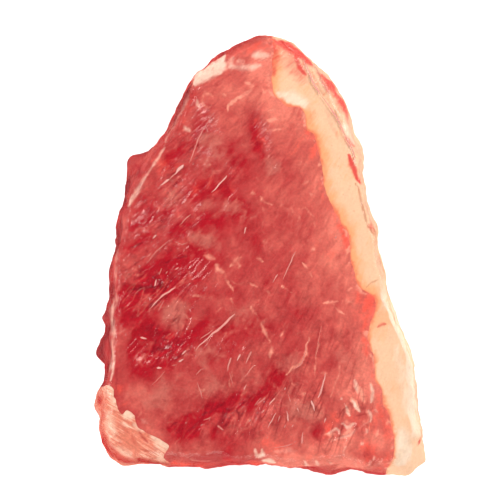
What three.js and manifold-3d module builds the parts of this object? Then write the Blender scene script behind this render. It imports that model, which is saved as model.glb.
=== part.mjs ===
// A raw joint of beef silverside in skin-tight clear film, lying flat with its cut face up.
// It is a wedge-shaped slab: lean muscle, a fat cap along the whole right side, and a lump of fat
// at the near left corner. Both fats run through the slab from the cut face to the underside.
//
// Millimetres, +Z up. The joint rests on z = 0 under the middle of its box. +Y points to the
// narrow tip and +X to the fat cap.

import * as THREE from "three";
import { mergeVertices } from "three/addons/utils/BufferGeometryUtils.js";
import Module from "manifold-3d";

const wasm = await Module();
wasm.setup();

// Driving dimensions
const LENGTH = 200; // tip to wide end
const WIDTH = 152; // widest place, near the wide end
const THICKNESS_WIDE_END = 58;
const THICKNESS_TIP = 44;
const CROWN = 3.5; // how far the middle of the cut face stands above its rim
const SEAM_GAP = 0.3; // between lean and fat, so that the solids stay apart

// Mesh fineness
const STEPS_AROUND = 126;
const STEPS_UP = 30;

// Plan outline, anticlockwise from the tip, as shares of WIDTH and LENGTH from the middle of the box.
const OUTLINE = [
  [0.033, 0.495], // tip, where the film is gathered
  [-0.116, 0.456],
  [-0.2, 0.395],
  [-0.282, 0.282], // left shoulder
  [-0.378, 0.172],
  [-0.422, 0.07],
  [-0.446, -0.037],
  [-0.45, -0.172],
  [-0.462, -0.29],
  [-0.475, -0.386],
  [-0.445, -0.46], // near left corner
  [-0.27, -0.478],
  [-0.033, -0.476], // wide end
  [0.175, -0.484],
  [0.381, -0.494],
  [0.453, -0.476], // near right corner
  [0.472, -0.397],
  [0.453, -0.253], // fat side
  [0.392, -0.118],
  [0.35, 0.01],
  [0.311, 0.143],
  [0.281, 0.26],
  [0.25, 0.337],
  [0.176, 0.424], // right of the tip
];

// Meat and gathered film that stand out from the outline: place as shares of WIDTH and LENGTH, how
// far out and how wide in millimetres, and how high up the side as a share of the thickness.
const LUMPS = [
  { at: [-0.39, 0.205], out: 6.5, wide: 4.5, up: 0.5 }, // left shoulder nub
  { at: [-0.459, -0.136], out: 3, wide: 4, up: 0.45 }, // upper bead on the left side
  { at: [-0.464, -0.207], out: 6, wide: 4.8, up: 0.4 }, // lower bead
  { at: [-0.48, -0.31], out: 6, wide: 5.5, up: 0.5 }, // corner fat swelling
  { at: [-0.41, -0.475], out: 2, wide: 5, up: 0.4 }, // scallops along the wide end
  { at: [-0.26, -0.48], out: 1.8, wide: 5, up: 0.45 },
  { at: [-0.1, -0.48], out: 2.2, wide: 6, up: 0.45 },
  { at: [0.18, -0.48], out: 2, wide: 6, up: 0.45 },
  { at: [0.38, -0.49], out: 2, wide: 8, up: 0.45 },
  { at: [0.478, -0.445], out: 7, wide: 3.8, up: 0.4 }, // ear of film at the near right corner
  { at: [0.307, 0.215], out: 3, wide: 4.5, up: 0.55 }, // fold of film on the fat side
];

// Hollows pressed into the cut face by the tight film: from and to as shares, depth and half width in mm.
const HOLLOWS = [
  { from: [-0.34, -0.2], to: [-0.12, -0.165], depth: 2.2, wide: 6 },
  { from: [-0.19, -0.355], to: [0.04, -0.29], depth: 2.2, wide: 6 },
  { from: [-0.3, -0.08], to: [-0.2, 0.0], depth: 1.6, wide: 6 },
  { from: [-0.03, 0.29], to: [0.0, 0.2], depth: 1.8, wide: 5 },
  { from: [0.12, -0.4], to: [0.3, -0.37], depth: 1.8, wide: 5 },
  { from: [-0.3, 0.15], to: [-0.18, 0.28], depth: 1.4, wide: 5 },
];

// Seams in plan, where fat meets lean. Each runs from outside the outline, across, to outside again.
const FAT_CAP_SEAM = [
  [0.02, 0.54],
  [0.035, 0.44],
  [0.038, 0.356], // lobe of fat under the tip
  [0.12, 0.322],
  [0.16, 0.255],
  [0.187, 0.155],
  [0.237, 0.053],
  [0.272, -0.037],
  [0.33, -0.095], // notch where lean reaches into the fat
  [0.311, -0.172],
  [0.342, -0.245],
  [0.355, -0.33],
  [0.38, -0.43],
  [0.368, -0.54],
];
const CORNER_FAT_SEAM = [
  [-0.25, -0.54],
  [-0.282, -0.456],
  [-0.27, -0.428],
  [-0.322, -0.388],
  [-0.394, -0.347],
  [-0.438, -0.311],
  [-0.54, -0.265],
];
const SEAM_STEPS = 30;
const FAT_CAP_LEAN = 0.03; // sideways run of a seam for each millimetre below the cut face
const CORNER_FAT_LEAN = 0.16;
const BEYOND = 40; // how far the cutting blocks reach past the joint

// Side profile of the slab, as shares of the distance from its middle and of the thickness.
const RIM_SHARE = 0.085; // rounded rim of the cut face
const FOOT_SHARE = 0.075; // rounded rim of the underside
const WIDEST_UP = 0.48; // height of the widest place

const place = ([across, along]) => new THREE.Vector3(across * WIDTH, along * LENGTH, 0);
const bell = (distance, wide) => Math.exp(-0.5 * (distance / wide) ** 2);

const outline = new THREE.CatmullRomCurve3(OUTLINE.map(place), true, "catmullrom", 0.5);
outline.arcLengthDivisions = 720;

// Distance in plan from a point to the straight line between two places.
function distanceToStroke(point, from, to) {
  const stroke = new THREE.Line3(place(from), place(to));
  const nearest = stroke.closestPointToPoint(point, true, new THREE.Vector3());
  return nearest.distanceTo(point);
}

// Thickness of the slab over a place in plan: a taper to the tip, a crown, and the film's hollows.
function thicknessAt(point, fromMiddle) {
  const toTip = point.y / LENGTH + 0.5;
  const taper = THREE.MathUtils.lerp(THICKNESS_WIDE_END, THICKNESS_TIP, toTip ** 2);
  const crown = CROWN * (1 - fromMiddle ** 2);
  const pressed = HOLLOWS.map((h) => h.depth * bell(distanceToStroke(point, h.from, h.to), h.wide));
  return taper - CROWN + crown - pressed.reduce((sum, depth) => sum + depth, 0);
}

// The place on the outline that is nearest to a given place.
const aroundOutline = outline.getSpacedPoints(720);
function ontoOutline(at) {
  const target = place(at);
  const nearer = (a, b) => (a.distanceTo(target) < b.distanceTo(target) ? a : b);
  return aroundOutline.reduce(nearer);
}
const lumpsOnOutline = LUMPS.map((l) => ({ ...l, foot: ontoOutline(l.at) }));

// How far the side stands out beyond the outline, from the lumps and from the film's upright pleats.
const FILM_OUT = 0.5; // the film's stand-off all round
const PLEAT_COUNTS = [11, 19, 31];
const PLEAT_DEPTH = 0.45;
function standOut(onOutline, turn, up) {
  const lumps = lumpsOnOutline.map(
    (l) => l.out * bell(onOutline.distanceTo(l.foot), l.wide) * bell(up - l.up, 0.2),
  );
  const pleats = PLEAT_COUNTS.map((n, i) => PLEAT_DEPTH * Math.sin(n * turn * 2 * Math.PI + 2 * i + 3 * up));
  return [...lumps, ...pleats].reduce((sum, out) => sum + out, FILM_OUT);
}

// The whole joint: a lathed blank of radius 1 and height 1, drawn out to the outline and thickness.
function jointBlank() {
  const sideAndFace = new THREE.Path()
    .moveTo(1 - FOOT_SHARE, 0)
    .quadraticCurveTo(1, 0, 1, WIDEST_UP)
    .quadraticCurveTo(1, 1, 1 - RIM_SHARE, 1)
    .lineTo(0, 1);
  const underside = new THREE.Vector2(0, 0);
  const profile = [underside, ...sideAndFace.getSpacedPoints(STEPS_UP)];
  profile.at(-1).x = 0;
  const blank = new THREE.LatheGeometry(profile, STEPS_AROUND).rotateX(Math.PI / 2);
  const points = blank.getAttribute("position");
  const middle = new THREE.Vector3();
  for (let i = 0; i < points.count; i++) {
    const [x, y, up] = [points.getX(i), points.getY(i), points.getZ(i)];
    const turn = THREE.MathUtils.euclideanModulo(Math.atan2(x, -y) / (2 * Math.PI), 1);
    const fromMiddle = Math.hypot(x, y);
    const onOutline = outline.getPointAt(turn);
    const onSide = fromMiddle ** 8;
    const reach = fromMiddle * (1 + (onSide * standOut(onOutline, turn, up)) / onOutline.length());
    const point = middle.clone().lerp(onOutline, reach);
    points.setXYZ(i, point.x, point.y, up * thicknessAt(point, fromMiddle));
  }
  return blank;
}

// A block that covers the outward side of a seam, through the whole thickness. Its face leans
// outward as it goes down, and is moved back inward by the grown millimetres.
function fatBlock(seam, outward, leaning, grown) {
  const line = new THREE.CatmullRomCurve3(seam.map(place), false, "catmullrom", 0.5);
  const away = outward.clone().multiplyScalar(WIDTH);
  const edge = line.getSpacedPoints(SEAM_STEPS).map((p) => p.addScaledVector(outward, -grown));
  const corners = [...edge, edge.at(-1).clone().add(away), edge[0].clone().add(away)];
  const shape = new THREE.Shape(corners.map((p) => new THREE.Vector2(p.x, p.y)));
  const height = THICKNESS_WIDE_END + 2 * BEYOND;
  const block = new THREE.ExtrudeGeometry(shape, { depth: height, bevelEnabled: false });
  block.translate(0, 0, -BEYOND);
  const points = block.getAttribute("position");
  for (let i = 0; i < points.count; i++) {
    const run = leaning * (THICKNESS_WIDE_END - points.getZ(i));
    points.setX(i, points.getX(i) + run * outward.x);
    points.setY(i, points.getY(i) + run * outward.y);
  }
  return block;
}

// A closed geometry as a solid that can be cut, and back again.
function solidOf(geometry) {
  const bare = geometry.clone();
  bare.deleteAttribute("normal");
  bare.deleteAttribute("uv");
  const merged = mergeVertices(bare, 1e-4);
  const vertProperties = merged.getAttribute("position").array;
  const triVerts = new Uint32Array(merged.index.array);
  return new wasm.Manifold(new wasm.Mesh({ numProp: 3, vertProperties, triVerts }));
}
function geometryOf(solid) {
  const { vertProperties, triVerts } = solid.getMesh();
  const geometry = new THREE.BufferGeometry();
  geometry.setAttribute("position", new THREE.BufferAttribute(vertProperties, 3));
  geometry.setIndex(new THREE.BufferAttribute(triVerts, 1));
  geometry.computeVertexNormals();
  return geometry;
}

const FAT_SIDE = new THREE.Vector3(1, 0, 0);
const NEAR_LEFT = new THREE.Vector3(-1, -1, 0).normalize();
const whole = solidOf(jointBlank());
const capBlock = (grown) => solidOf(fatBlock(FAT_CAP_SEAM, FAT_SIDE, FAT_CAP_LEAN, grown));
const cornerBlock = (grown) => solidOf(fatBlock(CORNER_FAT_SEAM, NEAR_LEFT, CORNER_FAT_LEAN, grown));
const fatCap = whole.intersect(capBlock(0));
const cornerFat = whole.intersect(cornerBlock(0));
const lean = whole.subtract(capBlock(SEAM_GAP)).subtract(cornerBlock(SEAM_GAP));

const leanFinish = new THREE.MeshStandardMaterial({ color: 0xc84c4a, roughness: 0.3, metalness: 0 });
const fatFinish = new THREE.MeshStandardMaterial({ color: 0xfbd0a8, roughness: 0.35, metalness: 0 });
const cornerFinish = new THREE.MeshStandardMaterial({ color: 0xe99579, roughness: 0.35, metalness: 0 });

function piece(name, solid, finish) {
  const mesh = new THREE.Mesh(geometryOf(solid), finish);
  mesh.name = name;
  return mesh;
}

const joint = new THREE.Group();
joint.name = "beef_silverside";
joint.add(
  piece("lean_muscle", lean, leanFinish),
  piece("fat_cap", fatCap, fatFinish),
  piece("corner_fat", cornerFat, cornerFinish),
);

// Stand the joint on z = 0 with the middle of its box over the origin.
const box = new THREE.Box3().setFromObject(joint);
const middle = box.getCenter(new THREE.Vector3());
joint.position.set(-middle.x, -middle.y, -box.min.z);

export default joint;
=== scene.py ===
# %% [markdown]
# # A joint of beef silverside in clear film
# The object is a raw joint of beef, lying flat with its cut face up. Three pieces of meat show: the red
# lean, a cream fat cap down the right side and a pink lump of fat at the near left corner. Clear film is
# drawn tight over all of it. This lesson rebuilds the three pieces as fine meshes over the solids of the
# frame, paints them with named marks, then adds the film and the creases pinched in it.

import math

import bpy
import numpy as np
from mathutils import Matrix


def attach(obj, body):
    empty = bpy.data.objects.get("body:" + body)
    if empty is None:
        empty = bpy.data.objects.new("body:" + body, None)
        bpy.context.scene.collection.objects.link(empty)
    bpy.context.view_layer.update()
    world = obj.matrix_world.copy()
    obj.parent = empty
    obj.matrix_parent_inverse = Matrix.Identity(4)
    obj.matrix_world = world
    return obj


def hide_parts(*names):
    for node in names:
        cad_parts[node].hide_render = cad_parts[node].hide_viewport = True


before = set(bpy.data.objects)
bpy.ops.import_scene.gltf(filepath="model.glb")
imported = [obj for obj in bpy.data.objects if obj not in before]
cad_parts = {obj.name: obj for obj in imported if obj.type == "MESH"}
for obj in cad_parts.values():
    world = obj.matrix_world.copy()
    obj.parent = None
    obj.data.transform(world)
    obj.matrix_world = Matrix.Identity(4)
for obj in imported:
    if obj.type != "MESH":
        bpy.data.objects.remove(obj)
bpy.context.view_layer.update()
MM = 0.001
print("solids:", sorted(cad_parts))

# %% [markdown]
# ## The form of the joint
# Pressed by the film, the joint is a slab: a wedge in plan, a taper towards the tip, a rounded rim and
# bulging sides. It could be sculpted or cast from a photo, but a joint like this is easier to keep true
# as a rule: a smooth closed line gives the plan, a short profile gives the side, and lumps and hollows
# are added where they show. The sizes are those of the solids, in millimetres, so the two stay in step.

# %% Plan outline
LENGTH, WIDTH = 200.0, 152.0
# Landmarks round the plan, as shares of the width and the length.
OUTLINE = np.array([
    (0.033, 0.495), (-0.116, 0.456), (-0.2, 0.395), (-0.282, 0.282), (-0.378, 0.172), (-0.422, 0.07),
    (-0.446, -0.037), (-0.45, -0.172), (-0.462, -0.29), (-0.475, -0.386), (-0.445, -0.46), (-0.27, -0.478),
    (-0.033, -0.476), (0.175, -0.484), (0.381, -0.494), (0.453, -0.476), (0.472, -0.397), (0.453, -0.253),
    (0.392, -0.118), (0.35, 0.01), (0.311, 0.143), (0.281, 0.26), (0.25, 0.337), (0.176, 0.424),
]) * (WIDTH, LENGTH)


def smooth_line(landmarks, steps, closed=False):
    """Evenly spaced points on a smooth line through the landmarks."""
    p = np.asarray(landmarks, float)
    if closed:
        p = np.vstack([p[-1:], p, p[:2]])
    else:
        p = np.vstack([2 * p[:1] - p[1:2], p, 2 * p[-1:] - p[-2:-1]])
    t = np.linspace(0, 1, 24, endpoint=False)[:, None]
    a, b, c, d = (p[i : len(p) - 3 + i, None, :] for i in range(4))
    bend = (2 * a - 5 * b + 4 * c - d) * t**2 + (3 * b - a - 3 * c + d) * t**3
    curve = (0.5 * (2 * b + (c - a) * t + bend)).reshape(-1, p.shape[1])
    curve = np.vstack([curve, p[-2]])
    run = np.concatenate([[0], np.cumsum(np.linalg.norm(np.diff(curve, axis=0), axis=1))])
    at = np.linspace(0, run[-1], steps + 1)
    return np.column_stack([np.interp(at, run, column) for column in curve.T])


outline = smooth_line(OUTLINE, 720, closed=True)
print("outline in mm:", np.round(np.ptp(outline, axis=0), 1))

# %% Noise from a seeded lattice
LATTICE, LATTICE_SHIFT = 32, 100.37


def lattice_noise(points, size, seed):
    """Smooth noise from -1 to 1 with lumps of about the given size, the same for the same seed."""
    lattice = np.random.default_rng(seed).uniform(-1, 1, (LATTICE,) * 3)
    at = points / size + LATTICE_SHIFT
    whole = np.floor(at).astype(int)
    part = at - whole
    part = part * part * (3 - 2 * part)
    total = np.zeros(len(points))
    for corner in np.ndindex(2, 2, 2):
        weight = np.prod(np.where(corner, part, 1 - part), axis=1)
        total += weight * lattice[tuple(((whole + corner) % LATTICE).T)]
    return total


def layered_noise(points, size, seed, layers=3):
    """Noise with each finer layer at half the size and half the strength."""
    return sum(lattice_noise(points, size / 2**k, seed + k) / 2**k for k in range(layers))


def wander(points, size, seeds):
    """A noise vector for each point, with one part for each seed."""
    return np.column_stack([layered_noise(points, size, seed) for seed in seeds])


def flat(xy):
    """Places in plan as points at height 0."""
    return np.column_stack([xy, np.zeros(len(xy))])


print("noise sample:", np.round(layered_noise(np.eye(3) * 50, 10, seed=3), 3))

# %% Thickness and hollows
THICK_WIDE_END, THICK_TIP, CROWN = 58.0, 44.0, 3.5
# Start and end as shares of the width and the length, then depth and half width in mm.
HOLLOWS = [
    ((-0.34, -0.2), (-0.12, -0.165), 2.2, 6), ((-0.19, -0.355), (0.04, -0.29), 2.2, 6),
    ((-0.3, -0.08), (-0.2, 0.0), 1.6, 6), ((-0.03, 0.29), (0.0, 0.2), 1.8, 5),
    ((0.12, -0.4), (0.3, -0.37), 1.8, 5), ((-0.3, 0.15), (-0.18, 0.28), 1.4, 5),
]


def bell(distance, wide):
    """1 at no distance, falling away over about the given width."""
    return np.exp(-0.5 * (distance / wide) ** 2)


def from_path(xy, path):
    """Distance in plan from each point to a line of straight runs, and the share along it that is nearest."""
    path = np.asarray(path, float)
    best, share = np.full(len(xy), np.inf), np.zeros(len(xy))
    for i, (a, b) in enumerate(zip(path[:-1], path[1:])):
        along = np.clip((xy - a) @ (b - a) / max((b - a) @ (b - a), 1e-9), 0, 1)
        far = np.linalg.norm(xy - a - along[:, None] * (b - a), axis=1)
        share = np.where(far < best, (i + along) / (len(path) - 1), share)
        best = np.minimum(best, far)
    return best, share


def slab_height(y):
    """Height of the slab along its length, before its face falls away to the rim."""
    return THICK_WIDE_END + (THICK_TIP - THICK_WIDE_END) * (y / LENGTH + 0.5) ** 2


def thickness(xy, rho, sunk=1.0):
    """Height of the cut face over a place in plan, rho being its share of the way to the outline."""
    pressed = np.zeros(len(xy))
    for start, end, depth, wide in HOLLOWS:
        ends = np.array([start, end]) * (WIDTH, LENGTH)
        pressed += depth * bell(from_path(xy, ends)[0], wide)
    return slab_height(xy[:, 1]) - CROWN * rho**2 - sunk * pressed


print("cut face height in the middle:", round(float(thickness(np.zeros((1, 2)), np.zeros(1))[0]), 1), "mm")

# %% Skin with lumps and pleats
# Place as shares, how far it stands out and its half width in mm, and how far up the side it is.
LUMPS = [
    ((-0.39, 0.205), 6.5, 4.5, 0.5), ((-0.459, -0.136), 3, 4, 0.45), ((-0.464, -0.207), 6, 4.8, 0.4),
    ((-0.48, -0.31), 6, 5.5, 0.5), ((-0.41, -0.475), 2, 5, 0.4), ((-0.26, -0.48), 1.8, 5, 0.45),
    ((-0.1, -0.48), 2.2, 6, 0.45), ((0.18, -0.48), 2, 6, 0.45), ((0.38, -0.49), 2, 8, 0.45),
    ((0.478, -0.445), 7, 3.8, 0.4), ((0.307, 0.215), 3, 4.5, 0.55),
]
FILM_OUT, PLEAT_COUNTS, PLEAT_DEPTH = 0.5, (11, 19, 31), 0.45
GATHER_COUNT, GATHER_DEPTH = 110, 0.55
RIM_WAVER, RIM_WAVER_SIZE = 0.5, 0.16


def stand_out(around, turn, up):
    """How far the side stands beyond the outline, from lumps and the film's upright pleats."""
    out = np.full(len(turn), FILM_OUT)
    for place, far, wide, level in LUMPS:
        target = np.array(place) * (WIDTH, LENGTH)
        foot = outline[np.argmin(np.linalg.norm(outline - target, axis=1))]
        out += far * bell(np.linalg.norm(around - foot, axis=1), wide) * bell(up - level, 0.2)
    for i, count in enumerate(PLEAT_COUNTS):
        out += PLEAT_DEPTH * np.sin(count * turn * 2 * math.pi + 2 * i + 3 * up)
    gathers = np.column_stack([turn * GATHER_COUNT, 2 * up, np.zeros(len(turn))])
    return out + GATHER_DEPTH * layered_noise(gathers, 1.0, seed=5)


def skin(turn, rho, up, sunk=1.0):
    """Points of the joint's skin for shares of the way round, out from the middle and up."""
    ring = np.column_stack([np.cos(2 * math.pi * turn), np.sin(2 * math.pi * turn), np.zeros(len(turn))])
    rho = 1 - (1 - rho) * (1 + RIM_WAVER * rho**6 * layered_noise(ring, RIM_WAVER_SIZE, seed=6))
    turns = np.linspace(0, 1, len(outline))
    around = np.column_stack([np.interp(turn, turns, column) for column in outline.T])
    reach = rho * (1 + rho**8 * stand_out(around, turn, up) / np.linalg.norm(around, axis=1))
    xy = around * reach[:, None]
    return np.column_stack([xy, up * thickness(xy, rho, sunk)])


print("rim at the tip in mm:", np.round(skin(np.zeros(1), np.ones(1), np.ones(1))[0], 1))

# %% [markdown]
# ## A fine skin without a pole
# The cut face carries all the marks, so its mesh has to be even. Rings that shrink to a pole are far too
# dense in the middle and too coarse at the rim. Here a square grid is pressed into a disc, which keeps its
# cells nearly alike. Rings then run from the edge of the disc over the rim and down the side, and one flat
# face closes the underside.

# %% Disc grid, rim rings and underside
RIM_SHARE, FOOT_SHARE, WIDEST_UP = 0.085, 0.075, 0.48
RING_EVENNESS = 0.7
BODY_GRID, BODY_RINGS = 280, 22


def disc_from_square(a, b):
    """Presses the square from -1 to 1 into the unit disc without folding it."""
    wide = np.abs(a) > np.abs(b)
    far = np.where(wide, a, b)
    ratio = np.where(wide, b, a) / np.where(far == 0, 1, far)
    angle = np.where(wide, ratio * math.pi / 4, math.pi / 2 - ratio * math.pi / 4)
    return far * np.cos(angle), far * np.sin(angle)


def side_profile(steps):
    """Shares out and up, from the edge of the cut face over the rim and side to the underside."""
    even = np.linspace(0, 1, steps + 1)[:, None]
    rim = np.array([(1 - RIM_SHARE, 1), (1, 1), (1, WIDEST_UP)])
    foot = np.array([(1, WIDEST_UP), (1, 0), (1 - FOOT_SHARE, 0)])
    spaced = ((even**RING_EVENNESS, rim), (1 - (1 - even) ** RING_EVENNESS, foot))
    arcs = [(1 - t) ** 2 * a + 2 * t * (1 - t) * b + t**2 * c for t, (a, b, c) in spaced]
    return np.vstack([arcs[0][1:], arcs[1][1:]])


def skin_layout(grid, steps):
    """Shares round, out and up for each point of a skin, and its faces."""
    b, a = np.meshgrid(np.linspace(-1, 1, grid), np.linspace(-1, 1, grid))
    x, y = disc_from_square(a.ravel(), b.ravel())
    turn = np.mod(np.arctan2(x, -y) / (2 * math.pi), 1)
    rho = np.hypot(x, y) * (1 - RIM_SHARE)
    up = np.ones(grid * grid)
    cell = np.arange(grid * grid).reshape(grid, grid)
    faces = np.stack([cell[:-1, :-1], cell[1:, :-1], cell[1:, 1:], cell[:-1, 1:]], -1).reshape(-1, 4)
    edge = np.concatenate([cell[:-1, 0], cell[-1, :-1], cell[:0:-1, -1], cell[0, :0:-1]])
    rings, count = [edge], len(edge)
    for share, level in side_profile(steps):
        rings.append(len(turn) + np.arange(count))
        turn = np.concatenate([turn, turn[edge]])
        rho = np.concatenate([rho, np.full(count, share)])
        up = np.concatenate([up, np.full(count, level)])
    bands = [np.stack([low, np.roll(low, -1), np.roll(high, -1), high], -1)
             for high, low in zip(rings, rings[1:])]
    faces = np.vstack([faces, *bands]).tolist() + [rings[-1][::-1].tolist()]
    return turn, rho, up, faces


turn, rho, up, body_faces = skin_layout(BODY_GRID, BODY_RINGS)
print("layout:", len(turn), "points and", len(body_faces), "faces")

# %% Mesh of the skin
def mesh_object(name, points, faces):
    """A smooth-shaded object at the origin from points in millimetres."""
    mesh = bpy.data.meshes.new(name)
    mesh.from_pydata((np.asarray(points) * MM).tolist(), [], faces)
    mesh.shade_smooth()
    made = bpy.data.objects.new(name, mesh)
    bpy.context.scene.collection.objects.link(made)
    return made


def points_of(made):
    """An object's points in millimetres, and its point normals."""
    count = len(made.data.vertices)
    place, normal = np.empty(count * 3), np.empty(count * 3)
    made.data.vertices.foreach_get("co", place)
    made.data.vertex_normals.foreach_get("vector", normal)
    return place.reshape(-1, 3) / MM, normal.reshape(-1, 3)


body_points = skin(turn, rho, up)
low, high = body_points.min(axis=0), body_points.max(axis=0)
SHIFT = np.array([-(low[0] + high[0]) / 2, -(low[1] + high[1]) / 2, 0.0])
joint_body = mesh_object("joint_body", body_points + SHIFT, body_faces)
print("skin:", len(body_points), "points, box in mm", np.round(high - low, 1), "moved", np.round(SHIFT, 2))

# %% [markdown]
# ## Relief pressed into the meat
# Under tight film the cut face is not flat: juice gathers in shallow creases, bundles of muscle stand a
# little proud, and the flesh between is softly lumpy. A bump map would vanish at the rim and in a low side
# view, so this relief moves the mesh itself. Creases are named by their path in plan, since each can be
# seen, and the lumps between come from seeded noise.

# %% Creases where juice gathers
# Each is a depth of red from 0 to 1, a half width in mm and a path in plan, in mm.
JUICE = [
    (0.85, 3.0, [(-3, 60), (-2.5, 54), (-1, 48), (1, 44)]), (0.45, 2.0, [(1, 49), (5, 44), (10, 41)]),
    (0.5, 2.6, [(-13.4, 53), (-13.6, 47), (-12.6, 40)]), (0.5, 3.6, [(-9, 50), (-9, 41), (-11, 33)]),
    (0.65, 4.0, [(-31, 26.5), (-24, 28.6), (-17, 29.5)]), (0.6, 2.0, [(-30, 71), (-33, 64), (-36, 58)]),
    (0.65, 2.8, [(-27, 61), (-29, 53), (-34, 47), (-41, 41)]), (0.75, 2.6, [(-58, 41), (-54, 37)]),
    (0.75, 2.4, [(-39.5, 10), (-31, 12), (-26, 14.4), (-20, 15.4)]),
    (0.45, 3.4, [(-34, 7), (-26, 11), (-17, 13)]), (0.6, 0.9, [(-58.4, 12), (-53, 12.4), (-47.7, 14)]),
    (0.7, 1.4, [(-60, 2), (-56, 4), (-52, 6.6)]),
    (0.95, 2.4, [(-50.5, -10.8), (-43, -4.5), (-36, -2.5), (-30, -1)]),
    (1.0, 3.0, [(-51, -9), (-46, -12), (-42, -15)]),
    (0.95, 2.2, [(-61, -17.5), (-54, -18), (-46, -18)]), (0.8, 5.0, [(-61, -22), (-56, -28)]),
    (0.7, 3.4, [(-60, -32), (-51, -32.5)]), (0.7, 1.6, [(-29, -29.5), (-25, -31)]),
    (1.0, 2.2, [(-55, -36), (-46.6, -36.7), (-39.8, -38.4), (-34.2, -38.4), (-29.7, -35), (-25, -31)]),
    (1.0, 2.6, [(-56, -42.3), (-49.4, -43.6), (-43.2, -42.3), (-38, -40.6), (-34.2, -38.9)]),
    (0.75, 3.8, [(-52, -46), (-53, -52)]), (0.55, 2.6, [(-45, -48), (-39, -45.5)]),
    (0.45, 3.0, [(-61, -59), (-62, -66)]),
    (1.0, 2.2, [(-41, -77.7), (-36.5, -75), (-29.7, -73.8), (-24, -70.4), (-18.5, -68.7),
                (-12.8, -68.7), (-4.4, -66)]),
    (0.85, 3.2, [(-38, -76), (-32, -78.5)]), (0.8, 3.4, [(-11, -66), (-4, -65), (2, -60), (6, -55)]),
    (0.5, 1.8, [(1, -56), (0, -48)]), (0.6, 2.2, [(-11, -81.7), (-14, -86.7), (-16.2, -91)]),
    (0.7, 2.6, [(-20.5, -78), (-14, -76)]), (0.6, 3.0, [(-13, -80), (-11, -84)]),
    (0.75, 2.0, [(24.5, -81), (27.5, -77.5)]), (0.9, 3.0, [(46, -90), (49.6, -91.6)]),
    (0.4, 3.0, [(-6, 16), (-8, 8), (-3, 6)]), (0.4, 4.5, [(13, -24), (20, -28)]),
    (0.35, 3.0, [(8, -30), (15, -40)]),
]


def marks(xy, strokes, warp_size, warp, seed, taper=0.0):
    """The strongest of a list of strokes at each point, with edges wandered by noise and ends drawn thin."""
    moved = xy + warp * wander(flat(xy), warp_size, (seed, seed + 10))
    strongest = np.zeros(len(xy))
    for strength, wide, path in strokes:
        path = smooth_line(path, 6 * len(path)) if len(path) > 2 else np.asarray(path, float)
        near = np.all((moved > path.min(0) - 3 * wide) & (moved < path.max(0) + 3 * wide), axis=1)
        far, share = from_path(moved[near], path)
        reach = strength * bell(far, wide * (1 - taper * (2 * share - 1) ** 2))
        strongest[near] = np.maximum(strongest[near], reach)
    return strongest


def ramp(value, start, end):
    """Smooth rise from 0 at start to 1 at end."""
    t = np.clip((value - start) / (end - start), 0, 1)
    return t * t * (3 - 2 * t)


print(len(JUICE), "creases")

# %% Folds drawn up along the grain
GRAIN_CENTRE, GRAIN_REACH = np.array([110.0, 170.0]), 190.0
# Sizes in mm along the grain, across it and down, then heights in mm.
FOLD_SIZE, FINE_FOLD_SIZE, STREAK_SIZE = (15, 3.6, 40), (7, 1.9, 40), (9, 2.4, 7)
FOLD_HEIGHT, FINE_FOLD_HEIGHT = 0.42, 0.22
# Where small folds stand: strength, centre, half sizes in mm and turn in degrees.
CRINKLED = [
    (1.0, (-46, -26), (20, 26), 45), (1.0, (-8, -72), (30, 12), 12), (0.8, (-40, 36), (12, 20), -30),
    (0.8, (36, -76), (16, 12), 30), (0.6, (-44, 6), (16, 10), 40), (0.5, (-8, -50), (10, 10), 0),
]
# Where the film is drawn into fine lines.
STRETCHED = [(0.5, (26, -52), (22, 24), 75), (0.3, (6, -22), (18, 22), 60), (0.3, (-6, 40), (18, 20), 0)]


def grain_place(points, centre=GRAIN_CENTRE):
    """Coordinates that run along and across the bundles, which fan out from a centre beyond the edge."""
    arm = points[:, :2] - centre
    along = np.linalg.norm(arm, axis=1)
    across = np.arctan2(arm[:, 1], arm[:, 0]) * GRAIN_REACH
    return np.column_stack([along, across, points[:, 2]])


def field(xy, ellipses):
    """Sum of soft-edged ellipses."""
    total = np.zeros(len(xy))
    for strength, centre, half, turned in ellipses:
        c, s = math.cos(math.radians(turned)), math.sin(math.radians(turned))
        local = (xy - centre) @ np.array([[c, -s], [s, c]]) / half
        total += strength * np.exp(-np.sum(local**2, axis=1) ** 1.5)
    return total


def folds(plan):
    """Height in mm of the small folds, as sharp crests and soft valleys."""
    place = grain_place(plan)
    crest = 1 - 2 * np.abs(lattice_noise(place / FOLD_SIZE, 1.0, seed=21))
    finer = lattice_noise(place / FINE_FOLD_SIZE, 1.0, seed=22)
    return np.minimum(field(plan[:, :2], CRINKLED), 1) * (FOLD_HEIGHT * crest + FINE_FOLD_HEIGHT * finer)


def streaks(plan, seed):
    """Noise from about -1 to 1, drawn out along the grain."""
    strayed = plan + 2.0 * wander(plan, 14, (seed + 20, seed + 30, seed + 40))
    return layered_noise(grain_place(strayed) / STREAK_SIZE, 1.0, seed)


print("folds stand up to", round(float(folds(body_points[::50]).max()), 2), "mm")

# %% Move the skin
# Heights and sizes in mm. The film, made later, follows the same lumps.
FOLD_GAIN, JUICE_DEPTH, FACE_SUNK = 1.3, 0.9, 0.4
LUMP_HEIGHT, LUMP_SIZE, LUMP_SEED = 0.3, 11, 31
WALL_LUMP_HEIGHT, WALL_LUMP_SIZE = 0.8, 7


def move_skin(made, points, normal, far):
    """Moves points along their normals, but level near the foot and not at all beneath."""
    high = ramp(points[:, 2], 1, 6)[:, None]
    push = high * normal + (1 - high) * (normal * (1, 1, 0))
    made.data.vertices.foreach_set("co", ((points + push * far[:, None]) * MM).ravel())
    made.data.update()


def wall_lumps(plan, normal):
    """Lumps in mm on the side, where nothing pressed the meat flat."""
    side = 1 - ramp(normal[:, 2], 0.2, 0.8)
    return side * WALL_LUMP_HEIGHT * layered_noise(plan, WALL_LUMP_SIZE, seed=33)


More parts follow.
